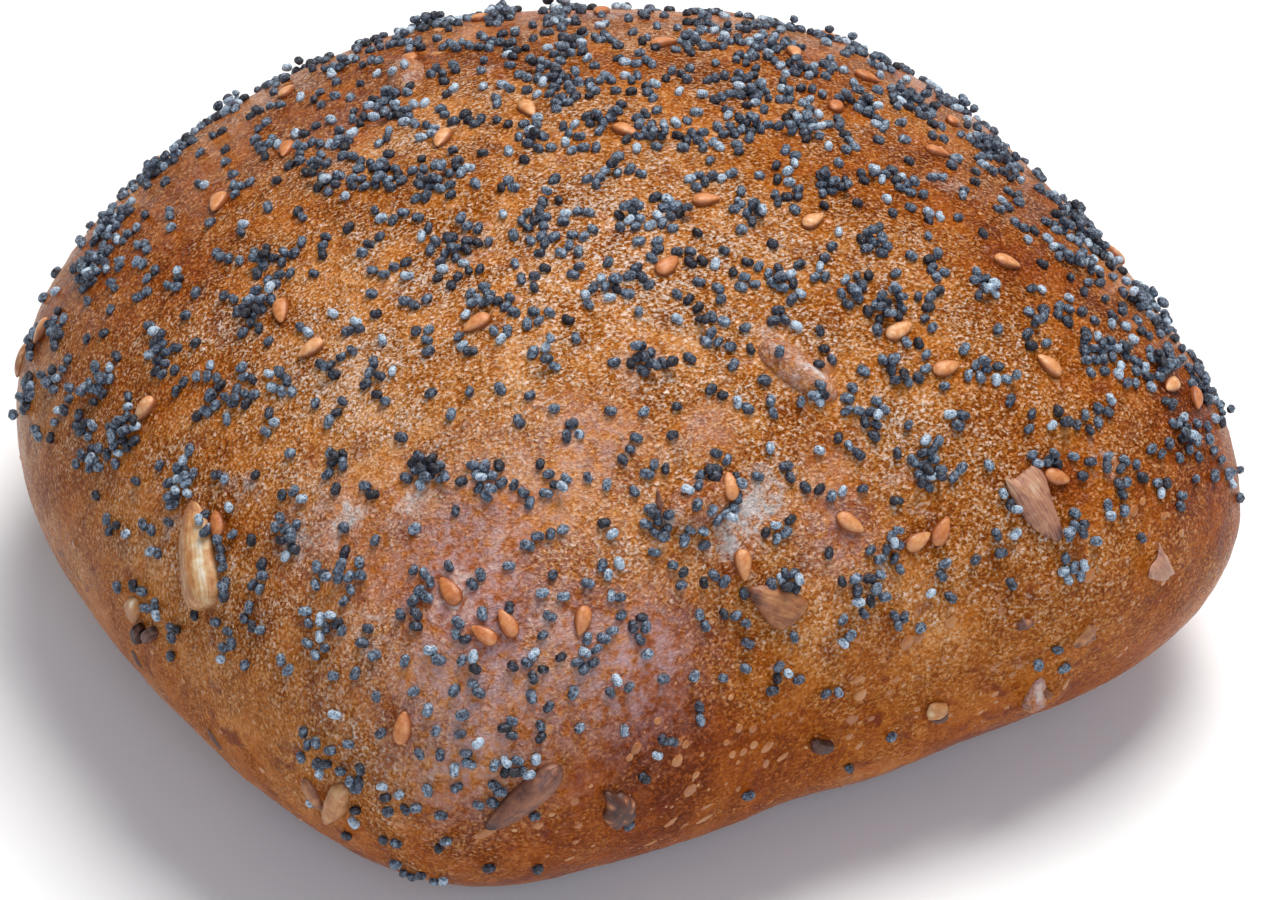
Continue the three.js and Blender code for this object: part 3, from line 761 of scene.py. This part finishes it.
def kernelPoints(row, rings=24, sides=24):
    length, width, thick = row["size"]
    place = crustFrame(row["bearing"], row["lift"], row["turn"])
    points, along, across, tone, faces = [], [], [], [], []
    for i in range(rings + 1):
        t = -math.cos(math.pi * i / rings)
        blunt = row["blunt"][0] if t < 0 else row["blunt"][1]
        wide = max(0, 1 - abs(t) ** blunt) ** (1 / 2) * (1 - row["taper"] * t)
        for j in range(sides if 0 < i < rings else 1):
            a = 2 * math.pi * j / sides
            x = t * length / 2
            y = math.cos(a) * wide * width / 2
            z = math.sin(a) * wide * thick / 2
            z += 0.04 * thick * math.cos(5 * math.cos(a)) * wide * (math.sin(a) > 0)   # low ridges along it
            z += drape(place, x, y) * 0.9 + (row["proud"] - 0.5) * thick
            points.append(place @ Vector((x, y, z)))
            along.append(t)
            across.append(math.cos(a) * row["lines"][0])
            tone.append(shaded(row, t, math.cos(a) * wide))
    last = len(points) - 1

    def ring(i, j):
        return 0 if i == 0 else last if i == rings else 1 + (i - 1) * sides + j % sides

    for i in range(rings):
        for j in range(sides):
            corners = [ring(i, j), ring(i, j + 1), ring(i + 1, j + 1), ring(i + 1, j)]
            faces.append([n for k, n in enumerate(corners) if n not in corners[:k]])
    return points, faces, along, across, tone


def chipPoints(row, rings=7, sides=40):
    # a chip with a crowned top inside its outline, its underside in the crust
    place = crustFrame(row["bearing"], row["lift"], row["turn"])
    outline = np.array(row["outline"])
    middle = outline.mean(0)
    loop = np.vstack([outline, outline[:1]])
    walked = np.concatenate([[0], np.cumsum(np.linalg.norm(np.diff(loop, axis=0), axis=1))])
    stops = np.linspace(0, walked[-1], sides, endpoint=False)
    rim = np.stack([np.interp(stops, walked, loop[:, k]) for k in (0, 1)], 1)
    long = np.linalg.svd(outline - middle)[2][0]           # the chip's long way, which its ribs follow
    aside = np.array([-long[1], long[0]])
    far = np.abs((outline - middle) @ aside).max()
    points, along, across, tone, faces = [], [], [], [], []

    def add(flat, height):
        side = float((flat - middle) @ aside) / far
        rib = 0.07 * row["lines"][1] * math.cos(math.pi * row["lines"][0] * side) if height > 0 else 0
        z = (height + rib) * row["thick"] / 2 + drape(place, *flat) + (row["proud"] - 0.5) * row["thick"]
        points.append(place @ Vector((flat[0], flat[1], z)))
        along.append(float((flat - middle) @ long) / 3)
        across.append(side * row["lines"][0])
        tone.append(shaded(row, flat[0], flat[1]))

    shares = np.sin(np.linspace(0, math.pi / 2, rings + 1))[1:]
    levels = [(share, (1 - share ** row["crown"]) ** (1 / 1.6)) for share in shares]
    levels += [(share, -height) for share, height in reversed(levels[:-1])]
    add(middle, 1)
    for share, height in levels:
        for spot in rim:
            add(middle + (spot - middle) * share, height)
    add(middle, -1)
    last = len(points) - 1
    turn = 1 if np.cross(outline[0] - middle, outline[1] - middle) > 0 else -1
    for j in range(sides):
        faces.append([0, 1 + j, 1 + (j + 1) % sides][::turn])
        faces.append([last, last - sides + (j + 1) % sides, last - sides + j][::turn])
        for i in range(len(levels) - 1):
            a, b = 1 + i * sides + j, 1 + i * sides + (j + 1) % sides
            faces.append([a, a + sides, b + sides, b][::turn])
    return points, faces, along, across, tone


def joinRows(name, shape, rows, material, toneName="tone", rosyName="rosy"):
    points, faces = [], []
    held = {key: [] for key in ("along", "across", toneName, "lined", rosyName)}
    for row in rows:
        more = shape(row)
        faces += [[n + len(points) for n in face] for face in more[1]]
        points += more[0]
        held["along"] += more[2]
        held["across"] += more[3]
        held[toneName] += more[4]
        held["lined"] += [row["lines"][1]] * len(more[0])
        held[rosyName] += [row["rosy"]] * len(more[0])
    piece = newMesh(name, points, faces, held)
    for face in piece.data.polygons:
        face.use_smooth = True
    piece.data.materials.append(material)
    return piece


kernelPiece = joinRows("sunflowerKernels", kernelPoints, kernels, kernelSkin)
coveredPiece = joinRows("coveredKernels", kernelPoints, covered, crust, "skin", "dull")
huskPiece = joinRows("huskPieces", chipPoints, husks, kernelSkin)
chipPiece = joinRows("grainChips", chipPoints, grains, kernelSkin)
bumpTree = treeOf(coveredPiece.data)
print("kernels, husks and chips laid")

poppy = dict(
    size=(1.3, 1.1, 1.0), proud=0.75,         # millimetres, share of the thickness that stands out
    room=0.94, crowded=0.74,                  # least distance in a clump, and of seeds laid one by one
    step=(1.04, 0.14),                        # from a seed of a clump to the next: least, and spread
    stackedShare=0.3, stackedStep=0.62, stackedRise=0.8,
    clumps=132, moreClumps=840,               # the clumps of the solid, and the others
    clearOfLone=2.5,                          # degrees from the others to the seeds laid one by one
    shades=[(0.0, (12, 8, 14)), (0.22, (34, 33, 46)), (0.5, (79, 90, 106)), (0.75, (128, 145, 163)),
            (1.0, (188, 203, 216))],
    patch=(0.36, 2.0), patchShare=0.60, pitShare=0.28, relief=0.06)

poppySkin, tree, surface, where = newMaterial("poppy", Roughness=0.48)
cell = put(tree, "ShaderNodeTexVoronoi", {"Vector": where, "Scale": 4200.0}, feature="DISTANCE_TO_EDGE")
pit = between(cell.outputs["Distance"], 0.04, 0.3)
tone, = attributes(tree, "tone")
shade = plus(tone, times(less(mottled(where, *poppy["patch"]), 0.5), poppy["patchShare"]))
shade = less(shade, times(less(pit, 0.5), poppy["pitShare"]))
tree.links.new(ramp(shade, poppy["shades"]), surface["Base Color"])
emboss(surface, pit, 0.7, poppy["relief"], invert=True)

# heaps: bearing, lift, how many seeds
heaps = [
    (176.7, 17.4, 16), (219, 29.1, 14), (225, 30, 10), (341, 58, 16), (316.5, 54.6, 10), (334.8, 21, 22),
    (315.6, 15.9, 12), (310.5, 11.4, 8), (273, 17.4, 9), (281.7, 23.7, 12), (205.8, 19.5, 9), (285, 32.7, 9),
    (296.1, 28.5, 8), (307.2, 33.9, 9), (148.8, 19.2, 22), (108.9, 37.2, 9), (78.3, 39.3, 14),
    (179.1, 35.7, 14), (140.1, 19.8, 20), (349.2, 29.4, 30), (36.6, 53.7, 14), (39.3, 85.8, 9),
    (309.3, 22.8, 9), (187.8, 17.7, 9), (325.2, 18.3, 12), (175.2, 61.5, 9), (188.4, 47.1, 10),
    (239.4, 77.4, 6), (230.1, 45.3, 6), (246.9, 45.6, 5), (281.4, 50.1, 10), (290.7, 44.1, 9),
    (214.2, 18.9, 9), (234.6, 10.8, 8), (241.2, 21.6, 8), (168.6, 17.1, 14), (157.2, 56.7, 9), (0, 37.2, 28),
    (25.2, 46.2, 20), (69, 57.6, 10), (86.7, 31.2, 20), (114.3, 21.6, 16), (129, 21, 20), (154.2, 14.4, 14),
]
# laid one by one: beside the kernels and chips, and on the bare flank
loneSeeds = [
    (193.8, 16.8), (194.4, 16.5), (195.3, 16.2), (195.9, 15.9), (197.1, 15.9), (198, 15.3), (198.6, 14.7),
    (199.2, 14.1), (200.4, 13.2), (201, 12.9), (200.7, 12), (197.7, 8.7), (189.6, 14.1), (198.6, 17.1),
    (201.3, 17.7), (204.3, 12.6), (203.7, 14.4), (188.7, 16.5), (189, 15.6), (187.8, 15.9), (189.3, 17.1),
    (231, 6.9), (231.9, 7.2), (232.8, 7.2), (233.1, 6.3), (232.5, 6.6), (234.3, 7.2), (231.9, 6.3),
    (232.5, 6), (233.7, 6.3), (231, 5.1), (229.8, 3.3), (230.9, 3.5), (231.5, 4.5), (234.3, 1.8),
    (228.9, 6.9), (293.1, 18.9), (293.1, 19.8), (294.3, 18.6), (294.9, 18), (294.9, 18.9), (288, 18),
    (288, 16.8), (288, 16.2), (287.1, 14.1), (285.3, 14.7), (285, 12.9), (292.8, 12.6), (293.4, 13.5),
    (292.8, 12), (291.9, 12), (291.6, 12.6), (297, 17.7), (255.6, 17.1), (258.9, 17.4), (260.1, 17.7),
    (260.4, 17.1), (261, 17.7), (261.6, 18), (261.9, 17.4), (260.7, 16.8), (261.6, 16.5), (262.2, 16.8),
    (260.4, 18.3), (260.4, 11.7), (255.3, 12), (250.2, 28.2), (251.7, 28.5), (252.6, 29.7), (253.5, 30),
    (255, 30), (254.1, 29.1), (256.8, 30.9), (255.6, 31.8), (257.4, 28.8), (257.4, 27.9), (257.1, 26.7),
    (256.2, 25.8), (250.8, 26.7), (252.6, 26.1), (253.5, 25.2), (255, 25.5), (255.3, 24.9), (249.9, 24.6),
    (249.3, 23.7), (251.7, 24.3), (251.7, 22.8), (245.7, 23.1), (280.2, 41.7), (275.4, 37.8), (266.7, 38.7),
    (274.2, 35.7), (273, 35.1), (272.1, 34.8), (270.6, 34.8), (273.3, 34.2), (274.2, 34.8), (213.6, 3),
    (215.4, 3.3), (216.3, 3.6), (215.7, 2.4), (217.8, 3.6), (219.6, 4.5), (218.7, 3), (219.6, 3.3),
    (219.3, 2.4), (219.3, 0.3), (219, -1.2), (217.8, -3.9), (214.5, -1.5), (242.1, -1.8), (243.6, 3),
    (185.1, 4.5), (187.8, 6.3), (189.3, 6.6), (190.5, 5.4), (191.7, 6.6), (192.3, 5.7), (194.7, 5.7),
    (195.6, 6), (196.2, 5.7), (195.3, 3), (249.3, 7.5), (249.3, 6.3), (245.4, 6), (246.3, 5.4), (244.8, 4.8),
    (241.8, 8.1), (263.1, 4.8), (264.6, 4.5), (254.4, -4.8), (266.4, -6.9), (245.7, 11.4), (241.2, 12.6),
    (242.4, 11.7), (254.7, 9.6), (271.8, 10.8), (272.1, 9.6), (273, 10.2), (288.3, 1.2), (286.5, 0),
    (289.2, -1.5), (270.9, -3.9), (265.8, 12.3), (266.4, 10.5), (265.5, 9.9), (225, 10.8), (228, 10.8),
    (225.9, 9.3), (228, 9.3), (229.5, 8.7), (224.7, 7.2), (226.5, 7.5), (228.6, 7.8), (227.7, 6.3),
    (228, 4.8), (225.6, 4.2), (226.8, 2.1), (223.8, 2.1), (224.7, 2.4), (222.3, 1.5), (223.2, 3.3),
    (222, 2.7), (227.1, -0.6), (226.5, -1.5), (221.7, -2.1), (222.9, -1.8), (230.4, -3.9), (234.3, -5.1),
    (237.9, 9.3), (233.7, 12.3), (235.2, 11.4), (234.6, 9.9), (234.6, 9), (232.2, 10.5), (231.6, 9.9),
    (232.2, 9.3), (222.3, -5.4), (222.6, -7.2), (223.2, -7.8), (224.4, -6.3), (226.2, -6.9), (223.5, 12),
    (227.1, 12.6), (229.2, 12.6), (237.3, 12.3), (240.6, 11.7), (221.1, 8.1), (221.7, 3.6), (298.2, 16.5),
    (296.4, 15.9), (300.3, 15.9), (299.4, 15.3), (301.5, 14.7), (300.6, 14.4), (302.4, 13.8), (302.1, 12.6),
    (299.4, 13.5), (300.3, 13.2), (299.1, 12.6), (297, 12.6), (298.2, 11.4), (296.7, 11.7), (293.7, 12.3),
    (294, 10.5), (305.1, 13.8), (305.7, 12.9), (307.5, 11.4), (309.9, 9.9), (312.6, 8.7), (312.9, 7.5),
    (307.8, 9), (310.5, 7.5), (303.3, 11.4), (304.2, 10.8), (303, 10.5), (305.1, 9), (304.2, 8.4),
    (314.1, 5.4), (318, 2.7), (313.2, 4.8), (314.4, 2.4), (220.8, 21), (222, 21), (222.9, 20.4),
    (224.4, 21.9), (227.7, 21.6), (230.4, 22.5), (234.9, 21.9), (227.1, 20.7), (222, 19.5), (222.9, 19.2),
    (221.7, 18.6), (220.8, 17.4), (222.3, 17.7), (222.6, 16.8), (240, 22.5), (240.6, 21.6), (241.8, 22.5),
    (238.5, 21), (234, 20.4), (236.1, 20.1), (240.9, 19.8), (241.8, 19.5), (228.6, 18.6), (231, 19.2),
    (234.9, 18.6), (241.8, 18), (226.5, 17.7), (234.3, 17.1), (226.5, 16.8), (227.4, 16.5), (240.9, 16.8),
    (243.9, 17.4), (243, 16.8), (244.2, 16.5), (243.6, 15.6), (250.2, 16.2), (224.4, 15.3), (225.3, 14.7),
    (222.3, 14.1), (227.4, 15), (228.3, 15.3), (228.6, 14.4), (231.9, 14.7), (233.1, 15), (233.7, 15.6),
    (236.1, 15.3), (234.6, 14.4), (233.7, 13.8), (237.6, 14.7), (238.2, 14.1), (244.2, 14.1), (228.6, 13.2),
    (238.5, 16.5),
]
# filled in last: along the right rim and low on the lobe
lateSeeds = [
    (338.1, 23.1), (336, 23.1), (334.8, 22.5), (331.8, 24.9), (333.9, 21.3), (334.5, 19.8), (333.6, 19.2),
    (328.2, 23.7), (328.5, 22.2), (334.2, 18.3), (324.3, 24), (326.1, 22.2), (330.9, 19.2), (336.6, 15.6),
    (333.3, 16.5), (327.3, 20.1), (322.8, 22.8), (321, 24.3), (319.5, 26.4), (325.2, 27), (322.5, 27),
    (323.4, 25.8), (330.6, 23.7), (310.8, 24), (309, 23.7), (309.9, 22.5), (311.1, 21.9), (307.2, 22.8),
    (308.1, 22.2), (309, 21.6), (306.3, 21.9), (307.8, 21), (319.8, 22.5), (321, 20.4), (317.7, 21.3),
    (315.6, 21.9), (317.1, 20.4), (320.1, 18.9), (318.6, 18.6), (315.9, 19.5), (313.8, 20.4), (312.3, 20.4),
    (326.4, 15.9), (330.3, 13.2), (324.6, 16.2), (325.8, 14.7), (324, 15), (317.7, 16.5), (315.3, 17.4),
    (319.8, 15.3), (323.4, 12.6), (314.1, 16.8), (312, 17.4), (311.1, 16.8), (317.4, 15), (317.4, 12.6),
    (322.8, 9.9), (321.6, 9.6), (321.6, 8.4), (317.4, 10.8), (312.9, 11.4), (314.1, 10.2), (316.5, 9.3),
    (311.7, 14.4), (311.7, 12.9), (309.9, 13.5), (307.5, 12.9), (309, 12), (310.5, 11.4), (311.7, 10.2),
    (312.9, 6), (304.8, 28.2), (306.9, 28.2), (303.6, 27.3), (305.4, 26.4), (309.9, 28.2), (313.2, 29.1),
    (312.3, 30), (314.7, 26.4), (312.9, 26.1), (313.8, 24.9), (318.3, 24.9), (299.1, 21.6), (297.3, 21),
    (298.5, 20.4), (296.4, 22.8), (301.5, 19.8), (302.1, 18.6), (300.6, 18.6), (303.3, 19.5), (303.9, 18.6),
    (213.6, 5.4), (214.2, 4.5), (215.1, 5.1), (216.6, 5.1), (212.1, 12.6), (213.3, 12), (214.2, 12.9),
    (213.3, 13.5), (215.4, 14.7), (217.8, 14.4), (215.7, 11.1), (217.8, 12), (219.3, 13.8), (220.2, 10.8),
    (218.4, 6.3),
]


def seededPlaces(count):
    places = []
    while len(places) < count:
        bearing = 360 * draw()
        lift = math.degrees(math.asin(2 * draw() - 1))
        turn = 360 * draw()
        if lift > poppyFoot(bearing):
            places.append((bearing, lift, turn))
    return places


def clumpSize():
    chance = draw()
    if chance < 0.54:
        return 1
    if chance < 0.82:
        return 2 + int(2 * draw())
    if chance < 0.95:
        return 4 + int(3 * draw())
    return 7 + int(5 * draw())


def waysTo(places):
    return heading(np.array([place[0] for place in places]), np.array([place[1] for place in places]))


clumps = [(*place, 0) for place in seededPlaces(poppy["clumps"])]
clumps += [(bearing, lift, 360 * draw(), count) for bearing, lift, count in heaps]
taken = waysTo(clumps)
loneWays = waysTo(loneSeeds)
for more in range(poppy["moreClumps"]):
    # the emptiest of four places, away from the seeds laid one by one
    offered = seededPlaces(4)
    ways = waysTo(offered)
    best = int(np.argmin((ways @ taken.T).max(1)))
    taken = np.vstack([taken, ways[best:best + 1]])
    if (ways[best] @ loneWays.T).max() < math.cos(math.radians(poppy["clearOfLone"])):
        clumps.append((*offered[best], 0))

blocked = []          # middles and reaches of what the poppy seeds lie beside
for place in sesamePlaces:
    way = crustFrame(*place)
    blocked += [(way @ Vector((x, 0, 0)), 1.25) for x in (-0.8, 0.3)]
for row in kernels:
    way = crustFrame(row["bearing"], row["lift"], row["turn"])
    half = row["size"][0] / 2
    for s in np.linspace(-0.7, 0.6, 5):
        blocked.append((way @ Vector((half * s, 0, 0)), row["size"][1] / 2 * (1 - row["taper"] * s) + 0.3))
for row in husks + grains:
    outline = np.array(row["outline"])
    way = crustFrame(row["bearing"], row["lift"], row["turn"])
    reach = np.linalg.norm(outline - outline.mean(0), axis=1).mean()
    blocked.append((way @ Vector((*outline.mean(0), 0)), reach))
blockedAt = np.array([spot for spot, reach in blocked])
blockedReach = np.array([reach for spot, reach in blocked])

poppyAt = np.zeros((4000, 3))
poppyRows = []


def lay(point, normal, turn, raised, room):
    # puts a seed down unless it would run into another
    count = len(poppyRows)
    near = np.linalg.norm(poppyAt[:count] - np.array(point), axis=1)
    if count and near.min() < room:
        return False
    if not raised and (np.linalg.norm(blockedAt - np.array(point), axis=1) < blockedReach).any():
        return False
    shade = 0.40 + 0.2 * (draw() + draw() + draw() - 1.5)
    if draw() < 0.13:
        shade = 0.05 + 0.15 * draw()
    if draw() < 0.12:
        shade = 0.72 + 0.2 * draw()
    big = 0.82 + 0.18 * draw()
    size = [side * big * (0.94 + 0.12 * draw()) for side in poppy["size"]]
    poppyAt[count] = point
    facing = (turn, 0.8 * (draw() - 0.5), 1.8 * (draw() - 0.5))
    poppyRows.append((point, normal, facing, size, int(3 * draw()), shade))
    return True


def layOne(bearing, lift):
    # one seed, or one on top of the seed that is in its way
    spot, normal = onTop(crustPoint(bearing, lift))
    turn = 2 * math.pi * draw()
    up = normal * (poppy["proud"] - 0.5) * poppy["size"][2]
    if not lay(spot + up, normal, turn, True, poppy["crowded"]):
        lay(spot + up + normal * 0.75, normal, turn, True, poppy["crowded"])


def layClump(bearing, lift, turn, wanted):
    place = crustFrame(bearing, lift)
    members = []
    tries = 0
    while len(members) < wanted and tries < 12 * wanted:
        tries += 1
        if not members:
            x, y, raised = 0.0, 0.0, False
        else:
            home = members[int(len(members) * draw() * draw())]
            way = 2 * math.pi * draw()
            raised = len(members) > 3 and draw() < poppy["stackedShare"]
            step = poppy["stackedStep"] if raised else poppy["step"][0] + poppy["step"][1] * draw()
            x, y = home[0] + step * math.cos(way), home[1] + step * math.sin(way)
        spot, normal = onTop(place @ Vector((x, y, 0)))
        height = (poppy["proud"] - 0.5) * poppy["size"][2] + (poppy["stackedRise"] if raised else 0.0)
        facing = math.radians(turn) if not members else 2 * math.pi * draw()
        if lay(spot + normal * height, normal, facing, raised, poppy["room"]):
            members.append((x, y))
        elif not members:
            break


for place in loneSeeds:
    layOne(*place)
for bearing, lift, turn, wanted in clumps:
    layClump(bearing, lift, turn, wanted or clumpSize())
for place in lateSeeds:
    layOne(*place)
poppyPiece = spread("poppySeeds", [
    seedShape("poppyA", 6, 7, notch=0.6, bend=0.1), seedShape("poppyB", 6, 7, notch=0.4, bend=0.05, dent=0.4),
    seedShape("poppyC", 6, 7, notch=0.7, bend=0.14, taper=0.12)], poppyRows, poppySkin)

sesameSkin, tree, surface, where = newMaterial("sesame", Roughness=0.42, Subsurface_Weight=0.1,
                                               Subsurface_Radius=(0.0012, 0.0007, 0.0004))
tone, rim = attributes(tree, "tone", "rim")
shade = plus(tone, times(mottled(where, *sesame["patch"]), sesame["patchShare"]))
# darker round the outline: partly the seed's own edge, partly painted shade
colour = paint(between(rim, 0.18, 0.72, 0.0, 0.85), ramp(shade, sesame["shades"]), sesame["rim"])
tree.links.new(colour, surface["Base Color"])
emboss(surface, effect(crumple, Vector=where, Grain=0.3)["Height"], 0.6, sesame["relief"])

sesameRows = []
for bearing, lift, turn in sesamePlaces:
    spot = onTop(crustPoint(bearing, lift))[0]
    normal = crustFrame(bearing, lift).to_3x3() @ Vector((0, 0, 1))
    big = 0.84 + 0.14 * draw()
    lean = (math.radians(turn), 0.1 * (draw() - 0.5), 0.2 * (draw() - 0.5))
    sesameRows.append((spot + normal * sesame["above"] * sesame["size"][2], normal, lean,
                       [side * big for side in sesame["size"]], int(2 * draw()), 0.25 + 0.4 * draw()))
sesamePiece = spread("sesameSeeds", [
    seedShape("sesameA", 12, 16, taper=0.34, edge=2.7),
    seedShape("sesameB", 12, 16, taper=0.26, bend=0.03, edge=2.5)], sesameRows, sesameSkin)

# blisters and flakes under the skin, most of them on the bare flank
blisters = dict(
    count=1700, lowest=-24, clearOfBase=0.8,  # lowest lift, least height over the base
    seededShare=0.2,                          # how many are kept among the seeds
    shades=[(0.1, (146, 78, 28)), (0.4, (170, 104, 50)), (0.7, (188, 128, 74)), (1.0, (204, 158, 112))],
    patch=(0.7, 2.0), patchShare=0.3, relief=0.08)

flakeSkin, tree, surface, where = newMaterial("flake", Roughness=0.32, Coat_Weight=0.25)
tone, = attributes(tree, "tone")
shade = plus(tone, times(mottled(where, *blisters["patch"]), blisters["patchShare"]))
tree.links.new(ramp(shade, blisters["shades"]), surface["Base Color"])
emboss(surface, effect(crumple, Vector=where, Grain=0.4)["Height"], 0.5, blisters["relief"])

# the large ones: bearing, lift, length, width
largeBlisters = [
    (248.1, -0.6, 1.5, 1.4), (248.7, 0.9, 0.9, 0.8), (256.5, 0.6, 1.5, 0.9), (258.3, -1.5, 1.4, 0.7),
    (253.5, 3.9, 0.9, 0.9), (255, 3.3, 0.9, 0.7), (255, 1.5, 0.9, 0.9), (253.8, 1.2, 0.9, 0.8),
    (252.6, 1.5, 0.8, 0.8), (253.2, 0.3, 0.6, 0.5), (252, 3, 0.7, 0.7), (252.9, 7.2, 0.7, 0.6),
    (247.8, 4.5, 0.9, 0.8), (246.9, 3.3, 1.3, 1.2), (243, 6, 1.2, 1.1), (242.4, 5.4, 0.9, 0.8),
    (249.9, -3.9, 1.3, 0.6), (249.9, -6.3, 1.8, 0.8), (246.3, -4.2, 1.6, 0.8), (247.8, -6, 1, 0.5),
    (244.5, -7.5, 1.4, 0.6), (242.4, -0.3, 1.2, 0.8), (266.1, -2.1, 0.9, 0.8), (266.1, 0.3, 1, 0.9),
    (259.2, 3.6, 0.5, 0.5), (245.1, 7.8, 0.8, 0.8), (257.4, 3.9, 0.6, 0.5), (273, 7.2, 1.6, 1.4),
    (274.5, 7.2, 1.2, 1), (278.4, 7.5, 1.3, 1.1), (270, 6.3, 0.7, 0.6), (270.6, 2.1, 0.8, 0.7),
    (271.5, 3.3, 0.8, 0.7), (276.9, 3.9, 0.7, 0.7), (266.4, 0, 1.2, 1.1), (268.5, -0.6, 0.8, 0.7),
    (267.3, -3.9, 0.9, 0.7), (282.6, 1.2, 0.6, 0.6), (284.1, -0.6, 0.8, 0.7), (282.6, -2.7, 0.9, 0.8),
    (267.3, 3, 1.4, 1.2), (283.5, 7.2, 1, 0.9), (289.8, -3.9, 1.2, 0.8), (230.4, 0.3, 2.6, 1),
    (234.6, 0.6, 1, 0.9), (223.2, 0.3, 1, 0.8), (237.9, -0.3, 0.8, 0.7), (237.6, -2.4, 0.7, 0.6),
    (237, -5.1, 1, 0.5), (292.2, 7.8, 1.5, 1.2), (302.1, 8.7, 0.9, 0.8), (303.3, 6.3, 0.9, 0.8),
    (299.4, 10.8, 1.2, 1),
]
flakeRows = []
for bearing, lift, long, wide in largeBlisters:
    spot, normal = onCrust(crustPoint(bearing, lift))
    flakeRows.append((spot - normal * 0.05, normal, (0.5 + 0.5 * (draw() - 0.5), 0.0, 0.0),
                      [long, wide, 0.34], int(2 * draw()), 0.05 + 0.35 * draw()))
while len(flakeRows) < blisters["count"]:
    bearing = 360 * draw()
    lift = math.degrees(math.asin(2 * draw() - 1))
    if lift < blisters["lowest"]:
        continue
    if lift > float(poppyFoot(bearing)) + 4 and draw() < 1 - blisters["seededShare"]:
        continue
    spot, normal = onCrust(crustPoint(bearing, lift))
    if spot.z < blisters["clearOfBase"]:
        continue
    big = 0.3 + 0.6 * draw() ** 3
    if draw() < 0.03:
        big = 0.8 + 0.8 * draw()
    flakeRows.append((spot - normal * 0.09, normal, (2 * math.pi * draw(), 0.0, 0.0),
                      [big * (1 + 0.5 * draw()), big, 0.26 + 0.14 * big * draw()], int(2 * draw()),
                      0.1 + 0.5 * draw() ** 2))
flakePiece = spread("crustBlisters", [
    seedShape("flakeA", 6, 8), seedShape("flakeB", 6, 8, taper=0.25, bend=0.08)], flakeRows, flakeSkin)

floorPaint, tree, surface, where = newMaterial("floor", Roughness=0.8)
dust = ramp(mottled(where, 60.0), [(0.0, (236, 236, 236)), (1.0, (240, 240, 240))])
tree.links.new(dust, surface["Base Color"])
reach, low = 2500, -0.05
ends = [(-reach, -reach, low), (reach, -reach, low), (reach, reach, low), (-reach, reach, low)]
floor = newMesh("floor", ends, [(0, 1, 2, 3)])
floor.data.materials.append(floorPaint)

world = bpy.data.worlds.new("studio")
bpy.context.scene.world = world
world.use_nodes = True
glow = world.node_tree.nodes["Background"].inputs
glow["Color"].default_value = (1, 1, 1, 1)
glow["Strength"].default_value = 0.29


def softLight(name, bearing, lift, far, size, power, colour):
    # a square light that looks at the roll
    lamp = bpy.data.lights.new(name, "AREA")
    lamp.size = size
    lamp.energy = power
    lamp.color = colour
    held = bpy.data.objects.new(name, lamp)
    bpy.context.scene.collection.objects.link(held)
    way = Vector(heading(bearing, lift))
    held.location = way * far + Vector((0, 0, 0.03))
    held.rotation_euler = way.to_track_quat("Z", "Y").to_euler()


softLight("keyLight", 20, 70, 0.75, 0.40, 7.0, (1.0, 0.98, 0.95))
softLight("fillLight", 245, 33, 0.9, 0.42, 3.2, (0.70, 0.82, 1.0))

scene = bpy.context.scene
scene.view_settings.view_transform = "Standard"
shot = dict(azimuth=-30.41, elevation=38, far=0.350, lens=106.36, aim=(-1.34, -9.48, 20))
turn, rise = math.radians(shot["azimuth"]), math.radians(shot["elevation"])
back = Vector((math.sin(turn) * math.cos(rise), -math.cos(turn) * math.cos(rise), math.sin(rise)))
view = bpy.data.cameras.new("camera")
view.lens = shot["lens"]
view.sensor_width = 36
view.clip_start = 0.01
camera = bpy.data.objects.new("camera", view)
scene.collection.objects.link(camera)
camera.location = Vector(shot["aim"]) * mm + back * shot["far"]
camera.rotation_euler = back.to_track_quat("Z", "Y").to_euler()
scene.camera = camera

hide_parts("roll")
for piece in (roll, poppyPiece, sesamePiece, kernelPiece, coveredPiece, huskPiece, chipPiece, flakePiece):
    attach(piece, "root")
